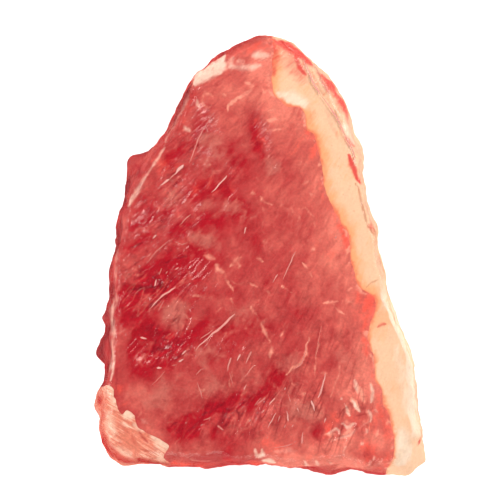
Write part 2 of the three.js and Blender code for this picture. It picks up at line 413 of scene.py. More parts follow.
def press_relief(made):
    """Moves the joint's skin by creases, folds and soft lumps."""
    points, normal = points_of(made)
    plan = points - SHIFT
    face = ramp(normal[:, 2], 0.2, 0.8)
    juice = marks(plan[:, :2], JUICE, 9, 1.2, seed=11)
    lumps = layered_noise(plan, LUMP_SIZE, LUMP_SEED)
    pressed = face * (FOLD_GAIN * folds(plan) - JUICE_DEPTH * juice - FACE_SUNK)
    move = pressed + LUMP_HEIGHT * lumps - LUMP_HEIGHT + wall_lumps(plan, normal)
    move_skin(made, points, normal, move)
    return float(move.min()), float(move.max())


print("relief in mm:", [round(v, 2) for v in press_relief(joint_body)])

# %% [markdown]
# ## Cutting lean from fat
# The fat cap and the corner fat run through the slab, so each has a wall inside the joint as well as its
# share of the skin. Painting one mesh in three colours would leave no separate pieces, so the skin is cut
# with two leaning blocks, the way a knife would part it. The manifold Boolean is quick and keeps closed
# bodies closed. The seams follow the ragged borders seen on the cut face.

# %% Seam paths and cutting blocks
FAT_SEAM = [
    (3, 108), (5, 92), (4.6, 84), (4.4, 77), (5.2, 72), (8.5, 68.4), (12.5, 66), (17.6, 65.2), (19.6, 61),
    (20.2, 55.5), (23.4, 53.2), (25.5, 47.5), (26.5, 42), (27.1, 35), (28, 29), (30.4, 22.6), (33.8, 17.6),
    (35.6, 13.2), (38.4, 9.8), (39.2, 3), (40, -4), (42, -11), (44.6, -15.8), (48.4, -18.2), (50.8, -20.6),
    (50.2, -27), (47.8, -32), (47, -36.5), (48.6, -42), (50.2, -49), (50.8, -56), (53.4, -60.5), (54, -66.5),
    (56.2, -71), (57.8, -77), (59, -84), (58.6, -91), (56, -97), (55, -108),
]
CORNER_SEAM = [
    (-36, -108), (-40, -97), (-39.4, -93), (-43, -90.4), (-41, -86), (-44.4, -82.6), (-50, -79.8),
    (-54.6, -76.6), (-56.6, -72), (-59.6, -69.4), (-62.4, -70.4), (-65, -64), (-66.6, -58.6), (-84, -52),
]
FAT_SIDE, NEAR_LEFT = np.array([1.0, 0.0]), np.array([-1.0, -1.0]) / math.sqrt(2)
# How far each seam leans out for each mm down, and the size of a block in mm.
CAP_LEAN, CORNER_LEAN = 0.03, 0.16
BLOCK_REACH, BLOCK_FOOT, BLOCK_TOP, SEAM_RAGGED = 160, -20.0, 90.0, 0.7


def cutting_block(name, seam, outward, lean):
    """A closed block on the outward side of a seam, leaning outward as it goes down."""
    edge = smooth_line(seam, 420)
    edge = edge + SEAM_RAGGED * wander(flat(edge), 4, (36, 37))
    ring = np.vstack([edge, edge[-1] + outward * BLOCK_REACH, edge[0] + outward * BLOCK_REACH])
    walls, count = [], len(ring)
    for z in (BLOCK_FOOT, BLOCK_TOP):
        walls.append(np.column_stack([ring + outward * lean * (THICK_WIDE_END - z), np.full(count, z)]))
    i, j = np.arange(count), np.roll(np.arange(count), -1)
    sides = np.stack([i, j, j + count, i + count], -1).tolist()
    caps = [np.arange(count)[::-1].tolist(), (np.arange(count) + count).tolist()]
    block = mesh_object(name, np.vstack(walls) + SHIFT, sides + caps)
    area = np.sum(ring[:, 0] * np.roll(ring[:, 1], -1) - ring[:, 1] * np.roll(ring[:, 0], -1))
    if area < 0:
        block.data.flip_normals()
    return block


cap_block = cutting_block("cap_block", FAT_SEAM, FAT_SIDE, CAP_LEAN)
corner_block = cutting_block("corner_block", CORNER_SEAM, NEAR_LEFT, CORNER_LEAN)
print("blocks:", len(cap_block.data.polygons), "and", len(corner_block.data.polygons), "faces")

# %% Cut the three pieces
SHARP_ANGLE = math.radians(50)


def cut(name, source, *steps):
    """A new piece: the source after Boolean steps, each an operation and a block."""
    piece = bpy.data.objects.new(name, source.data)
    bpy.context.scene.collection.objects.link(piece)
    for operation, block in steps:
        knife = piece.modifiers.new(block.name, "BOOLEAN")
        knife.operation, knife.solver, knife.object = operation, "MANIFOLD", block
    cut_mesh = bpy.data.meshes.new_from_object(piece.evaluated_get(bpy.context.evaluated_depsgraph_get()))
    piece.modifiers.clear()
    piece.data = cut_mesh
    cut_mesh.name = name
    cut_mesh.materials.clear()
    cut_mesh.shade_smooth()
    cut_mesh.set_sharp_from_angle(angle=SHARP_ANGLE)
    return piece


lean_muscle = cut("lean_muscle.meat", joint_body, ("DIFFERENCE", cap_block), ("DIFFERENCE", corner_block))
fat_cap = cut("fat_cap.meat", joint_body, ("INTERSECT", cap_block))
corner_fat = cut("corner_fat.meat", joint_body, ("INTERSECT", corner_block))
for used in (joint_body, cap_block, corner_block):
    bpy.data.objects.remove(used)
for piece in (lean_muscle, fat_cap, corner_fat):
    print(piece.name, len(piece.data.vertices), "points", len(piece.data.polygons), "faces")

# %% [markdown]
# ## Marks painted on the meat
# Colour on raw beef follows what is under the film: deep red where juice lies, pale threads of marbling, and
# bright red beside the fat. Light and shade are painted in as well: greyish pink where the film is hazy, a
# painted reflection of its sheen; painted shade in folds and on the sides; and painted highlights where the
# film glints. An image would give all of that at once, but only from above and at one scale. Instead each
# kind of mark becomes a number on every point of the mesh, and the materials turn the numbers into colour,
# with fine noise to break their edges.

# %% Broad tones and haze
# How pale (+) or dark (-), centre, half sizes in mm and turn in degrees.
TONES = [
    (0.5, (-16, 73), (10, 7), 10), (0.1, (14, 24), (14, 18), 60), (-0.3, (16, 12), (12, 9), 0),
    (-0.35, (-16, -39), (9, 7), 30), (-0.1, (-8, 20), (8, 6), 0), (0.25, (-9, 51), (5, 6), 0),
    (0.25, (-41, 44), (6, 6), 0), (0.3, (-41, -69), (7, 4), 20), (0.3, (-33, 44), (7, 7), 0),
    (-0.3, (-50, 20), (10, 6), 30), (-0.3, (-4, 93), (13, 3.5), 10), (-0.3, (-25, 44), (8, 8), 0),
    (0.35, (-33, 60), (6, 8), 60), (-0.3, (-9, -29), (7, 7), 0), (-0.2, (-17, 68), (8, 5), 0),
    (0.3, (-25, -86), (9, 5), 0), (0.35, (41, -69), (8, 7), 0), (0.55, (24, -88), (26, 6), 5),
    (0.5, (43, -58), (8, 14), 80), (0.5, (1, 82), (7, 8), 0), (0.45, (8, 62), (8, 6), 0),
    (0.2, (31, -8), (8, 10), 70), (0.05, (30, -36), (10, 12), 80), (-0.4, (32, -51), (8, 9), 0),
    (-0.35, (-47, -45), (9, 4), 0), (-0.25, (-53, 4), (8, 5), 30), (-0.25, (-25, 52), (6, 6), 0),
    (-0.2, (16, -69), (7, 7), 0), (-0.3, (0, -33), (8, 10), 0), (-0.25, (-33, -5), (8, 6), 0),
    (0.15, (-63, -34), (3, 9), 0), (0.3, (22, 10), (14, 8), 0), (0.4, (-55, -64), (6, 8), 30),
    (0.35, (-2, -86), (12, 4), 8), (1.4, (31, -94), (24, 3.8), 0), (-0.15, (-20, 33), (12, 6), 20),
    (0.3, (8, 52), (6, 6), 0), (-0.4, (-52, -22), (9, 10), 30), (-0.35, (19, -26), (8, 6), 20),
    (-0.12, (6, -60), (14, 7), 10), (0.2, (-41, -78), (7, 4), 20), (-0.3, (-28, -78), (12, 6), 10),
    (-0.35, (-53, -50), (8, 9), 60), (-0.1, (-8, 46), (8, 10), 0), (0.3, (-8, 57), (9, 8), 0),
    (0.3, (48, -86), (8, 8), 0), (0.35, (-46, -78), (8, 4), 40), (0.4, (-57, 36), (5, 5), 0),
    (0.3, (48, -86), (7, 6), 0), (-0.25, (0, 76), (5, 4), 0), (-0.2, (-9, -53), (6, 5), 0),
    (-0.2, (8, -86), (6, 4), 0), (-0.3, (-8, -29), (7, 6), 0), (-0.3, (-8, 20), (6, 6), 0),
    (-0.2, (-16, -45), (6, 5), 0), (0.3, (-9, 92), (6, 3), 10), (-0.25, (0, -29), (5, 5), 0),
    (-0.25, (-25, 19), (8, 3.5), 10), (-0.2, (-41, 19), (6, 4), 20), (-0.2, (-9, 20), (6, 5), 0),
    (-0.22, (-36, 0), (20, 18), 0), (0.14, (-33, -54), (8, 6), 0), (0.16, (-49, -54), (6, 5), 0),
    (-0.2, (16, -45), (7, 6), 0), (-0.3, (-17, 76), (6, 4), 0), (-0.15, (-41, -61), (6, 5), 0),
    (-0.15, (-25, -45), (6, 5), 0),
]
# Grey pink mist where the film is lifted a hair off the meat: a painted reflection of the film's sheen.
FILM_SHEEN_MIST = [
    (0.6, (-22, 45), (8, 10), 20), (0.4, (-39, 25.5), (6, 3.5), 35), (0.3, (-18, 21), (13, 4), -4),
    (0.6, (-24.5, 5), (8, 4), -10), (0.9, (-37, -27), (7, 5), 60), (0.6, (-49, -64), (9, 6), 20),
    (0.3, (-38, -59), (7, 7), 0), (0.5, (-22, -44), (8, 6), 0), (0.6, (-21, -58), (7, 6), 0),
    (0.25, (-5, -53), (5, 8), 70), (0.3, (-33, -87.5), (10, 3.6), 0), (0.6, (3, 39), (5, 5), 0),
    (0.5, (-6, -26), (9, 10), 70), (0.25, (-8, 22), (8, 8), 0), (0.5, (17, -66), (8, 10), 70),
    (0.6, (20, -72), (5, 9), 80), (0.5, (14, -50), (6, 9), 75), (0.4, (40, -48), (6, 8), 80),
]
print(len(TONES), "tones and", len(FILM_SHEEN_MIST), "hazes")

# %% Pale patches
# Fat that lies on the lean at the tip, pale stretched film down the left, partly a painted sheen, and pale
# marks at the near rim and the lower right, many of them painted highlights where the film glints. Here
# and below, a stroke is a strength, a half width in mm and a path in plan, in mm.
PALE_FAT_AND_GLINTS = [
    (1.0, 2.4, [(-18.6, 88.6), (-19, 84), (-20.5, 82)]),
    (1.0, 2.2, [(-19, 81.6), (-24, 80.4), (-28, 77.4)]),
    (1.0, 2.0, [(-22, 85), (-26, 81), (-30, 76.4)]), (0.6, 2.0, [(-3.4, 88.8), (0, 89.2), (3.4, 89.6)]),
    (0.5, 1.7, [(-15, 84.6), (-8, 83.6), (0, 84)]), (0.4, 1.6, [(-12, 88.4), (-15, 86), (-17, 83)]),
    (0.4, 1.2, [(-12, 87.6), (-8, 86.4)]),
    (0.4, 1.2, [(-32.4, 71.4), (-36, 64.6), (-39.6, 58.6), (-43, 50)]),
    (0.4, 0.8, [(-34, 70), (-38, 62), (-42, 54)]), (0.5, 0.9, [(-43, 48), (-48, 40), (-52, 34)]),
    (0.6, 1.2, [(-52, 34), (-56, 28), (-59.6, 21.4)]),
    (0.6, 0.9, [(-66.6, -20), (-66.2, -34), (-66.4, -48), (-67, -57)]),
    (0.35, 0.9, [(-64.4, 2), (-65.4, -8), (-66.2, -20)]), (0.4, 1.6, [(-65, -18), (-65.4, -25)]),
    (0.2, 1.2, [(-64.6, -29), (-63.4, -34), (-65, -40)]),
    (0.35, 0.7, [(-33.6, -90.7), (-29.7, -92.4), (-20.7, -92.4)]),
    (0.7, 0.9, [(-2, -87), (-1.4, -89.4), (1, -89.6), (1, -87.2)]),
    (0.8, 1.2, [(0.7, -92.6), (3.4, -93.4), (6.3, -93.4)]),
    (0.3, 1.4, [(6, -88), (11, -87.4), (16, -87.6)]), (0.5, 1.0, [(-29, 69.4), (-28, 66)]),
    (0.5, 1.4, [(-34.6, 56.8), (-32.8, 55)]), (0.35, 1.3, [(-53, -74), (-50.4, -75.6)]),
    (0.6, 0.9, [(19.5, -93), (22.7, -97.6)]), (0.6, 0.9, [(24.6, -92.6), (26.6, -97.4)]),
    (0.5, 1.0, [(31, -92.6), (33, -96)]), (0.6, 0.9, [(41.4, -57), (42.2, -59), (43.6, -62)]),
    (0.65, 0.8, [(48.4, -58), (49.4, -62), (49, -66.4)]),
    (0.75, 0.9, [(40.4, -65.6), (42, -68), (43.6, -70.2)]), (0.65, 0.8, [(36.6, -67.8), (39.2, -72)]),
    (0.5, 0.9, [(35.4, -64.4), (35.8, -65)]), (0.6, 0.7, [(47.6, -69.6), (48.6, -72), (48.2, -75)]),
    (0.6, 0.8, [(36.2, -76.2), (38.8, -77.6), (42, -76)]),
    (0.55, 0.8, [(29.8, -80.7), (34, -78.8), (35, -80.7)]), (0.55, 1.0, [(45, -84.4), (45.6, -84.8)]),
    (0.5, 0.7, [(46.4, -78), (47.8, -79.6)]), (0.4, 0.7, [(31, -84), (40, -80.2), (48.4, -74.4)]),
    (0.4, 0.7, [(51.6, -71.4), (50.2, -69.4)]), (0.45, 0.7, [(48, -94), (51, -90)]),
    (0.45, 0.6, [(52, -94.6), (54, -92)]), (0.4, 0.8, [(38, -86), (36.6, -90)]),
    (0.4, 0.8, [(42, -93), (43, -96)]),
]
print(len(PALE_FAT_AND_GLINTS), "patches")

# %% Marbling
# Threads of fat in the lean that can be told apart.
VEINS = [
    (0.95, 0.75, [(-8.3, 77.5), (-4.4, 75.8), (-7.2, 71.9), (-14.5, 66.8), (-15, 64)]),
    (0.7, 0.7, [(-18.5, 70.8), (-15, 70.2)]),
    (0.6, 0.8, [(-21, 69.5), (-23, 71.2), (-25.6, 71.8), (-26.6, 68.9), (-25.4, 66.6),
                (-23.6, 65.4), (-22.4, 67.2)]),
    (0.7, 1.3, [(0.8, 72.2), (1.8, 72.8)]), (0.7, 0.6, [(3.5, 63.5), (6.3, 64.6)]),
    (0.75, 0.6, [(2.9, 60), (8.5, 60)]), (0.75, 0.6, [(2.9, 55.3), (9.7, 55.6)]),
    (0.5, 0.7, [(15.3, 46.6), (17.6, 45.4)]), (0.6, 0.9, [(18.8, 39.8), (19.8, 38.8)]),
    (0.5, 0.7, [(-2, 34.8), (0, 33.6)]), (0.6, 0.8, [(18.7, 30.3), (21.5, 32)]),
    (0.5, 0.7, [(21.6, 27.4), (22.6, 26.8)]), (0.65, 0.7, [(-1, 25.2), (2, 23.6), (5.2, 21.8)]),
    (0.6, 1.0, [(-5, 26.9), (-3.6, 26.3)]),
    (0.7, 0.6, [(17, 20.4), (19.8, 20.7), (22, 17.9), (25.4, 16.2)]),
    (0.5, 1.2, [(23.2, 3.2), (24.2, 2.2)]), (1.0, 1.4, [(-20, -5.4), (-17, -7.6)]),
    (0.7, 1.1, [(-25, -1.4), (-21, -3)]), (0.75, 0.7, [(-17, -7), (-16, -11), (-14, -13)]),
    (0.8, 0.8, [(-13.4, -5.4), (-11, -3.2), (-8.3, -1.8)]), (0.7, 0.7, [(-11, -3), (-10.4, -6.4)]),
    (0.75, 0.8, [(-1.6, -2.4), (1.4, -4)]), (0.7, 0.5, [(-5, -12), (-3, -14.4), (-1, -15.3)]),
    (0.6, 0.8, [(1.8, -16.4), (4.6, -19.2)]), (0.65, 0.6, [(9, -14.4), (11, -15), (14, -17.6)]),
    (0.6, 0.6, [(-13.4, -19.8), (-12.4, -23)]), (0.7, 0.7, [(-4.4, -23.7), (-2.2, -26.8)]),
    (0.7, 0.8, [(-30.6, -19.6), (-26.4, -19)]), (0.55, 0.5, [(-33.6, -27.1), (-32, -30.5)]),
    (0.75, 0.6, [(-0.5, -30.5), (2, -34), (4.6, -40)]), (0.65, 0.8, [(4.6, -40), (4.4, -46.2)]),
    (0.5, 0.5, [(-2.1, -39.5), (4.6, -40.3)]), (0.7, 0.6, [(27.7, -22), (31, -21.5), (33.9, -20.9)]),
    (0.7, 0.6, [(31, -21.5), (33.3, -24.9), (36.7, -27.1)]), (0.5, 0.6, [(37.2, -22.9), (41.2, -21.5)]),
    (0.5, 0.7, [(37.8, -17.6), (40.6, -15.3)]), (0.65, 0.6, [(18.7, -4), (23, -10.6)]),
    (0.8, 0.6, [(21.2, -37.8), (18.7, -47.4), (14.2, -51.9), (10.8, -54.7)]),
    (0.6, 0.5, [(26.6, -31.6), (24.3, -46.8), (23.2, -55.8)]),
    (0.55, 0.6, [(35, -50.2), (30.5, -64.2)]), (0.5, 0.6, [(15.9, -63.7), (20.4, -62.5)]),
    (0.8, 1.0, [(41.7, -57.5), (44, -61.4), (46, -66)]),
    (0.8, 0.8, [(48.5, -57.5), (49.8, -62), (49.6, -67)]), (0.9, 1.0, [(40.6, -64.8), (43.4, -70.4)]),
    (0.8, 0.9, [(36.1, -68.7), (38.9, -71.6)]),
    (0.7, 0.7, [(46.2, -69.3), (47.9, -73.8), (47.4, -79.4)]),
    (0.6, 0.8, [(29.9, -82.8), (36, -81), (40, -79.4), (46.2, -74.9)]),
    (0.7, 0.9, [(36.1, -76), (38.6, -75.4), (41.7, -77)]), (0.6, 1.0, [(28.8, -80.6), (34.4, -80.4)]),
    (0.6, 0.9, [(45, -84), (46.4, -84.6)]), (0.6, 0.6, [(-16, -11), (-14, -14.4), (-12.1, -17.4)]),
    (0.5, 0.5, [(-15.4, -10.8), (-10.1, -13.5), (-5.4, -12)]), (0.45, 0.6, [(-13, -52), (-14, -60)]),
    (0.5, 0.6, [(52, -79), (50, -84)]), (0.5, 0.7, [(12, -31), (9, -37)]),
]


def wandering_veins(count, seed):
    """Fine threads that start at random on the lean and wander roughly along the grain."""
    rng = np.random.default_rng(seed)
    threads = []
    for _ in range(count):
        at = rng.uniform((-56, -88), (44, 62))
        arm = at - GRAIN_CENTRE
        heading = math.atan2(arm[1], arm[0]) + rng.normal(0, 0.6)
        path = [at]
        for _ in range(rng.integers(2, 5)):
            heading += rng.normal(0, 0.35)
            path.append(path[-1] + rng.uniform(1.2, 2.2) * np.array([math.cos(heading), math.sin(heading)]))
        threads.append((rng.uniform(0.12, 0.38), rng.uniform(0.4, 0.7), path))
    return threads


threads = wandering_veins(220, seed=41)
print(len(VEINS), "named veins and", len(threads), "fine threads")

# %% Bright red beside the fat
# Fresh red meat along the seam, at the near edge and round the tip.
BLUSH = [
    (0.7, 2.2, [(20.5, 54), (23.6, 49), (25, 42)]), (0.4, 1.4, [(25, 42), (26, 34), (27, 28)]),
    (0.5, 1.4, [(27, 28), (32, 18), (34.4, 13)]), (1.0, 1.4, [(34.4, 12.8), (37, 7.8), (38.2, 1.6)]),
    (0.3, 1.2, [(38.2, 1.6), (40, -8), (43, -16)]),
    (1.0, 3.6, [(45, -19.4), (47.8, -21.6), (47.4, -26), (45.6, -30)]),
    (0.8, 1.6, [(46, -31), (45.4, -38), (47.6, -44)]), (0.6, 1.4, [(49, -48), (49.6, -54)]),
    (0.8, 1.8, [(51.6, -61), (52.6, -66), (54, -72)]),
    (0.7, 2.0, [(54.6, -71), (57, -80), (57.8, -88), (55, -95)]),
    (0.7, 4.2, [(46, -88), (49, -91), (52, -93)]), (0.5, 3.0, [(51, -73), (46, -76), (40, -73)]),
    (0.6, 2.6, [(33, -73), (29, -78)]), (0.45, 3.0, [(0, -85), (8, -85)]),
    (0.8, 2.6, [(-34, -96), (-14, -96), (-2, -95)]), (0.45, 3.0, [(20, -91), (30, -92)]),
    (0.7, 2.6, [(-42, -95), (-34, -96)]), (0.8, 2.4, [(-16, 91), (-8, 93.6), (4, 95.4)]),
    (0.7, 2.0, [(-63, -60), (-62, -67)]), (0.5, 2.6, [(18, 52), (14, 46)]),
    (0.5, 2.0, [(-30.4, 69), (-33.4, 62), (-37, 56)]), (0.45, 4.0, [(-30, 28), (-18, 31)]),
    (0.45, 4.0, [(-40, 37), (-46, 41)]), (0.5, 1.4, [(-56, 9), (-48, 8)]),
    (0.4, 3.0, [(28, 5), (31, 0)]), (0.55, 2.4, [(-2, 59), (0, 51), (3, 45)]),
    (0.5, 3.0, [(-66, -6), (-65, -14)]),
]
print(len(BLUSH), "bright strokes")

# %% Painted shade on the sides and in the folds
# Painted shade: darker meat outside the film's ridge, where the side falls away.
SLOPE_SHADE = [
    (1.0, 2.4, [(-42.4, 56), (-40, 62), (-37, 68.4), (-33, 75.4)]),
    (0.7, 1.6, [(-59.4, 41), (-57, 45.4)]),
    (0.55, 2.2, [(-19, 90.6), (-12, 94), (-3, 96.6), (4, 98.4)]), (0.6, 0.9, [(-61, 30), (-62, 26)]),
]
# Painted shade on the lumps that stand out from the left side, below the rim.
LUMP_SHADE = [(0.9, 2.2, [(-69.8, -20), (-70, -28)]), (1.0, 3.2, [(-72, -36), (-74, -43), (-72, -49)])]
# Painted shade: dark lines where film and meat are folded in.
FOLD_SHADE_LINES = [
    (0.8, 0.5, [(-58.3, 2.9), (-55.1, 4.1), (-52.8, 5.1)]),
    (0.5, 0.5, [(-58.9, 12.2), (-54.4, 11.9), (-46.4, 14.4)]), (0.6, 0.9, [(-51.2, 1.2), (-50.6, 0.6)]),
    (0.5, 0.6, [(-43.2, 2.2), (-41.6, 0.8), (-40, 2.2), (-41.6, 3.6)]),
    (1.0, 0.7, [(-57.7, -15.8), (-51.9, -15.5), (-47.4, -15.1)]),
    (0.8, 0.7, [(-52, -16.6), (-51, -17)]), (1.0, 1.0, [(-45.4, -11.3), (-44.8, -15.1)]),
    (0.5, 0.5, [(-53.2, -6.8), (-48, -1.6), (-43.5, 2.9)]),
    (0.45, 0.5, [(-55.7, -11.3), (-49.9, -7.4), (-46.1, -4.9)]),
    (0.8, 0.4, [(-36, 39.4), (-34.2, 38.9)]), (0.6, 0.4, [(-41, 32.2), (-39.7, 33.7)]),
    (0.5, 0.6, [(-63, -8.1), (-62.8, -5.5)]), (0.6, 0.8, [(-44, -65), (-42.4, -65.6)]),
    (0.6, 0.8, [(-32.9, -79.4), (-29.7, -77.5), (-25.8, -72.4)]),
    (0.5, 0.8, [(-64.1, -51.1), (-64.2, -55.6), (-64.7, -60.8)]),
    (0.6, 0.6, [(42.6, -72.4), (46.5, -71.1)]), (0.4, 0.7, [(40, -80), (35, -81.6), (29.8, -83.3)]),
    (0.6, 0.6, [(3.4, 95.4), (4.8, 94)]), (0.5, 0.7, [(-7.4, 7), (-6, 6.4), (-5, 8)]),
    (0.4, 0.6, [(33.4, 5.6), (34, 5.2)]),
]
print(len(SLOPE_SHADE) + len(LUMP_SHADE), "dark strokes and", len(FOLD_SHADE_LINES), "shade_lines")

# %% Numbers on points
RIM_RAGGED, RIM_RAGGED_SIZE = 7, 8


def give(piece, name, values):
    """Stores a number for each point of a piece."""
    layer = piece.data.attributes.new(name, "FLOAT", "POINT")
    layer.data.foreach_set("value", np.asarray(values, np.float32))


def give_grain(piece, plan, centre=GRAIN_CENTRE):
    """Stores the grain coordinates for each point of a piece."""
    layer = piece.data.attributes.new("grain", "FLOAT_VECTOR", "POINT")
    layer.data.foreach_set("vector", grain_place(plan, centre).astype(np.float32).ravel())


def over_rim(plan, start, end, seed):
    """How far a mark of the cut face still shows on the side: 1 above, then fading over a ragged line."""
    ragged = RIM_RAGGED * layered_noise(plan, RIM_RAGGED_SIZE, seed)
    below = slab_height(plan[:, 1]) - CROWN - plan[:, 2] + ragged
    return 1 - ramp(below, start, end)


def wall_warped(plan, normal, far):
    """Places in plan that stray by about far mm on the side, so that marks don't run straight down it."""
    wall = 1 - ramp(normal[:, 2], 0.0, 0.5)
    return plan[:, :2] + wall[:, None] * far * wander(plan, 9, (67, 68))


print("slab height in mm at the wide end and the tip:", slab_height(-LENGTH / 2), slab_height(LENGTH / 2))

# %% Juice and painted shade on the sides
# How many mm below the rim each kind of mark starts to fade, and is gone.
FACE_FADE, BLUSH_FADE, SLOPE_SHADE_FADE, LUMP_FADE = (4, 16), (6, 24), (4, 20), (22, 46)


def juice_marks(xy, streak):
    """Depth of red where juice lies, and the painted shade of the slits in the middle of the creases."""
    halo = marks(xy, [(deep, 1.65 * wide, path) for deep, wide, path in JUICE], 8, 2.4, seed=11)
    core = marks(xy, JUICE, 5, 1.4, seed=12)
    slits = marks(xy, [(deep**2, min(0.22 * wide, 0.6), path) for deep, wide, path in JUICE], 4, 1.2, 14, 0.7)
    soft = ramp(halo + 0.4 * streak * ramp(halo, 0, 0.3), 0, 1.15)
    return 0.56 * soft + 0.44 * ramp(core + 0.3 * streak, 0.3, 0.95), slits


def shade_of_sides(plan, xy, normal, streak):
    """Painted shade: darker low on the side where it faces down, most at the left, outside the film's ridge
    and on the lumps at the left.
    """
    left = ramp(-xy[:, 0], 38, 62)
    low = 0.4 * ramp(-normal[:, 2], -0.3, 0.15) + 0.7 * left * ramp(-normal[:, 2], -0.75, -0.2)
    low = low * (0.85 + 0.35 * layered_noise(plan, 10, 79) + 0.4 * streak)
    low *= 1 - 0.85 * ramp(-normal[:, 1], 0.3, 0.8)
    ridge = over_rim(plan, *SLOPE_SHADE_FADE, 80) * marks(xy, SLOPE_SHADE, 6, 1.0, 65, 0.4)
    lumps = over_rim(plan, *LUMP_FADE, 88) * marks(xy, LUMP_SHADE, 6, 1.0, 65, 0.4)
    lumps *= 0.85 + 0.5 * layered_noise(plan, 6, 89)
    return np.maximum(low, np.maximum(ridge, lumps))


print("fades in mm:", FACE_FADE, BLUSH_FADE, SLOPE_SHADE_FADE, LUMP_FADE)

# %% Paint the lean
def paint_lean(piece):
    """Puts the lean's marks on its points."""
    points, normal = points_of(piece)
    plan = points - SHIFT
    xy = wall_warped(plan, normal, 3)
    face, reach = ramp(normal[:, 2], -0.1, 0.25), over_rim(plan, *FACE_FADE, 76)
    fold, streak = folds(plan), streaks(plan, 56)
    drift = xy + 2.5 * wander(plan, 10, (51, 52))
    pools, slits = juice_marks(xy, streak)
    seam_gap = from_path(xy, smooth_line(FAT_SEAM, 160))[0]
    broad = 0.14 * ramp(xy[:, 0], -25, 35) + 0.16 * ramp(xy[:, 1], 48, 76) + 0.34 * bell(seam_gap, 7)
    # The fold term paints the crests of the folds paler: a painted sheen of the film on them.
    local = 0.5 * field(drift, TONES) + 0.25 * fold - 0.55 * pools
    bundles = (1 - face) * 0.22 * layered_noise(plan * (1, 1, 1.6), 22, 77)
    mottled = 0.14 * layered_noise(plan, 8, 53, 4)
    give(piece, "tone", 0.36 + reach * (broad + local) + bundles + mottled + 0.12 * streak)
    # This mark is the film's sheen painted on the lean as grey pink: a painted reflection.
    give(piece, "painted_sheen", face * (field(drift, FILM_SHEEN_MIST) + 0.25 * layered_noise(plan, 6, 55, 4) - 0.15 * streak))
    broken = 0.8 + 0.5 * layered_noise(plan, 2.5, 57, 2)
    lines = np.maximum(marks(xy, VEINS, 4, 1.0, 61, 0.6), marks(xy, threads, 4, 1.0, 62, 0.6))
    fingers = 0.8 * bell(seam_gap, 1.4) * ramp(layered_noise(plan, 3.5, 87), 0.05, 0.4)
    silver = (1 - face) * 0.55 * ramp(0.1 - np.abs(layered_noise(plan * (1, 1, 2), 26, 78)), 0, 0.1)
    give(piece, "vein", broken * np.maximum(reach * np.maximum(lines, fingers), silver))
    muted = (0.45 + 0.55 * face) * over_rim(plan, *BLUSH_FADE, 76)
    give(piece, "blush", muted * marks(xy, BLUSH, 6, 1.6, seed=63) * (0.8 + 0.45 * streak))
    # Pale fat, with painted highlights and sheen where the film glints and is stretched.
    give(piece, "pale_and_glint", reach * marks(xy, PALE_FAT_AND_GLINTS, 5, 0.9, 64, 0.5))
    # Painted shade in the valleys of the folds, in the slits of the juice creases and along the named folds.
    valleys = 0.85 * ramp(-fold, 0.1, 0.4) * ramp(broken, 0.65, 1.05)
    slits *= 0.85 * ramp(broken, 0.55, 0.95)
    shade_lines = marks(xy, FOLD_SHADE_LINES, 4, 0.6, 66, 0.5)
    give(piece, "fold_shade", face * np.maximum(np.maximum(valleys, slits), shade_lines))
    # Painted shade on the sides and on the lumps at the left.
    give(piece, "side_shade", shade_of_sides(plan, xy, normal, streak))
    drawn = face * np.minimum(field(xy, CRINKLED) + field(xy, STRETCHED), 1)
    patchy = ramp(layered_noise(plan, 9, 69), -0.35, 0.3)
    give(piece, "wrinkled", np.maximum(0.6 * (1 - face), drawn) * patchy)
    give_grain(piece, plan)
    return len(points)


print("lean points painted:", paint_lean(lean_muscle))

# %% Marks on the fats
# Blood on the fat cap, then brown lines and specks.
FAT_RED = [
    (0.9, 1.3, [(15.3, 88.8), (17, 84.4), (19.8, 80.3)]),
    (0.5, 0.8, [(10.5, 95), (13, 92.4), (15.3, 90)]), (0.95, 2.4, [(21, 88.6), (23, 85)]),
    (1.0, 3.4, [(28, 81.4), (32, 77), (36, 71.4), (40, 63)]),
    (1.0, 3.2, [(4, 99), (10, 95.6), (16, 91.4), (20, 88)]), (0.55, 5.0, [(9, 92), (14, 86), (18, 79)]),
    (0.45, 2.2, [(15, 78), (20.6, 77)]), (1.0, 0.9, [(39.4, 44), (41, 39), (42.4, 35.6), (44.6, 31.6)]),
    (0.8, 0.9, [(47, 44), (46.8, 36)]), (0.5, 1.4, [(47.6, 28), (49, 20), (50, 14), (50.8, 8)]),
    (0.7, 1.2, [(48, 13.6), (49, 11)]), (1.1, 2.4, [(71.6, -84.6), (73.6, -89.6)]),
    (0.8, 5.0, [(74.6, -86), (75.4, -91)]), (0.7, 2.2, [(4, 99), (6.4, 93), (6.6, 87), (5.4, 80)]),
    (0.4, 1.2, [(10, 90), (12, 85)]), (0.45, 1.2, [(38, 62), (43, 50)]),
    (0.6, 1.0, [(38.1, 52.4), (42, 48.5)]),
    (0.45, 0.9, [(20.8, 83.9), (23.3, 79.4), (26.6, 74.2), (30.4, 68.4)]),
    (0.4, 0.9, [(35.6, 56.9), (38.1, 51.7), (40.1, 47.2)]),
    (0.75, 0.8, [(51.6, -33), (53.6, -31.6), (55.8, -31)]), (0.35, 1.2, [(27, 67), (31, 60), (34, 52)]),
    (0.3, 1.0, [(30, 66), (34, 58)]), (0.3, 1.6, [(23, 64), (22, 58)]),
]
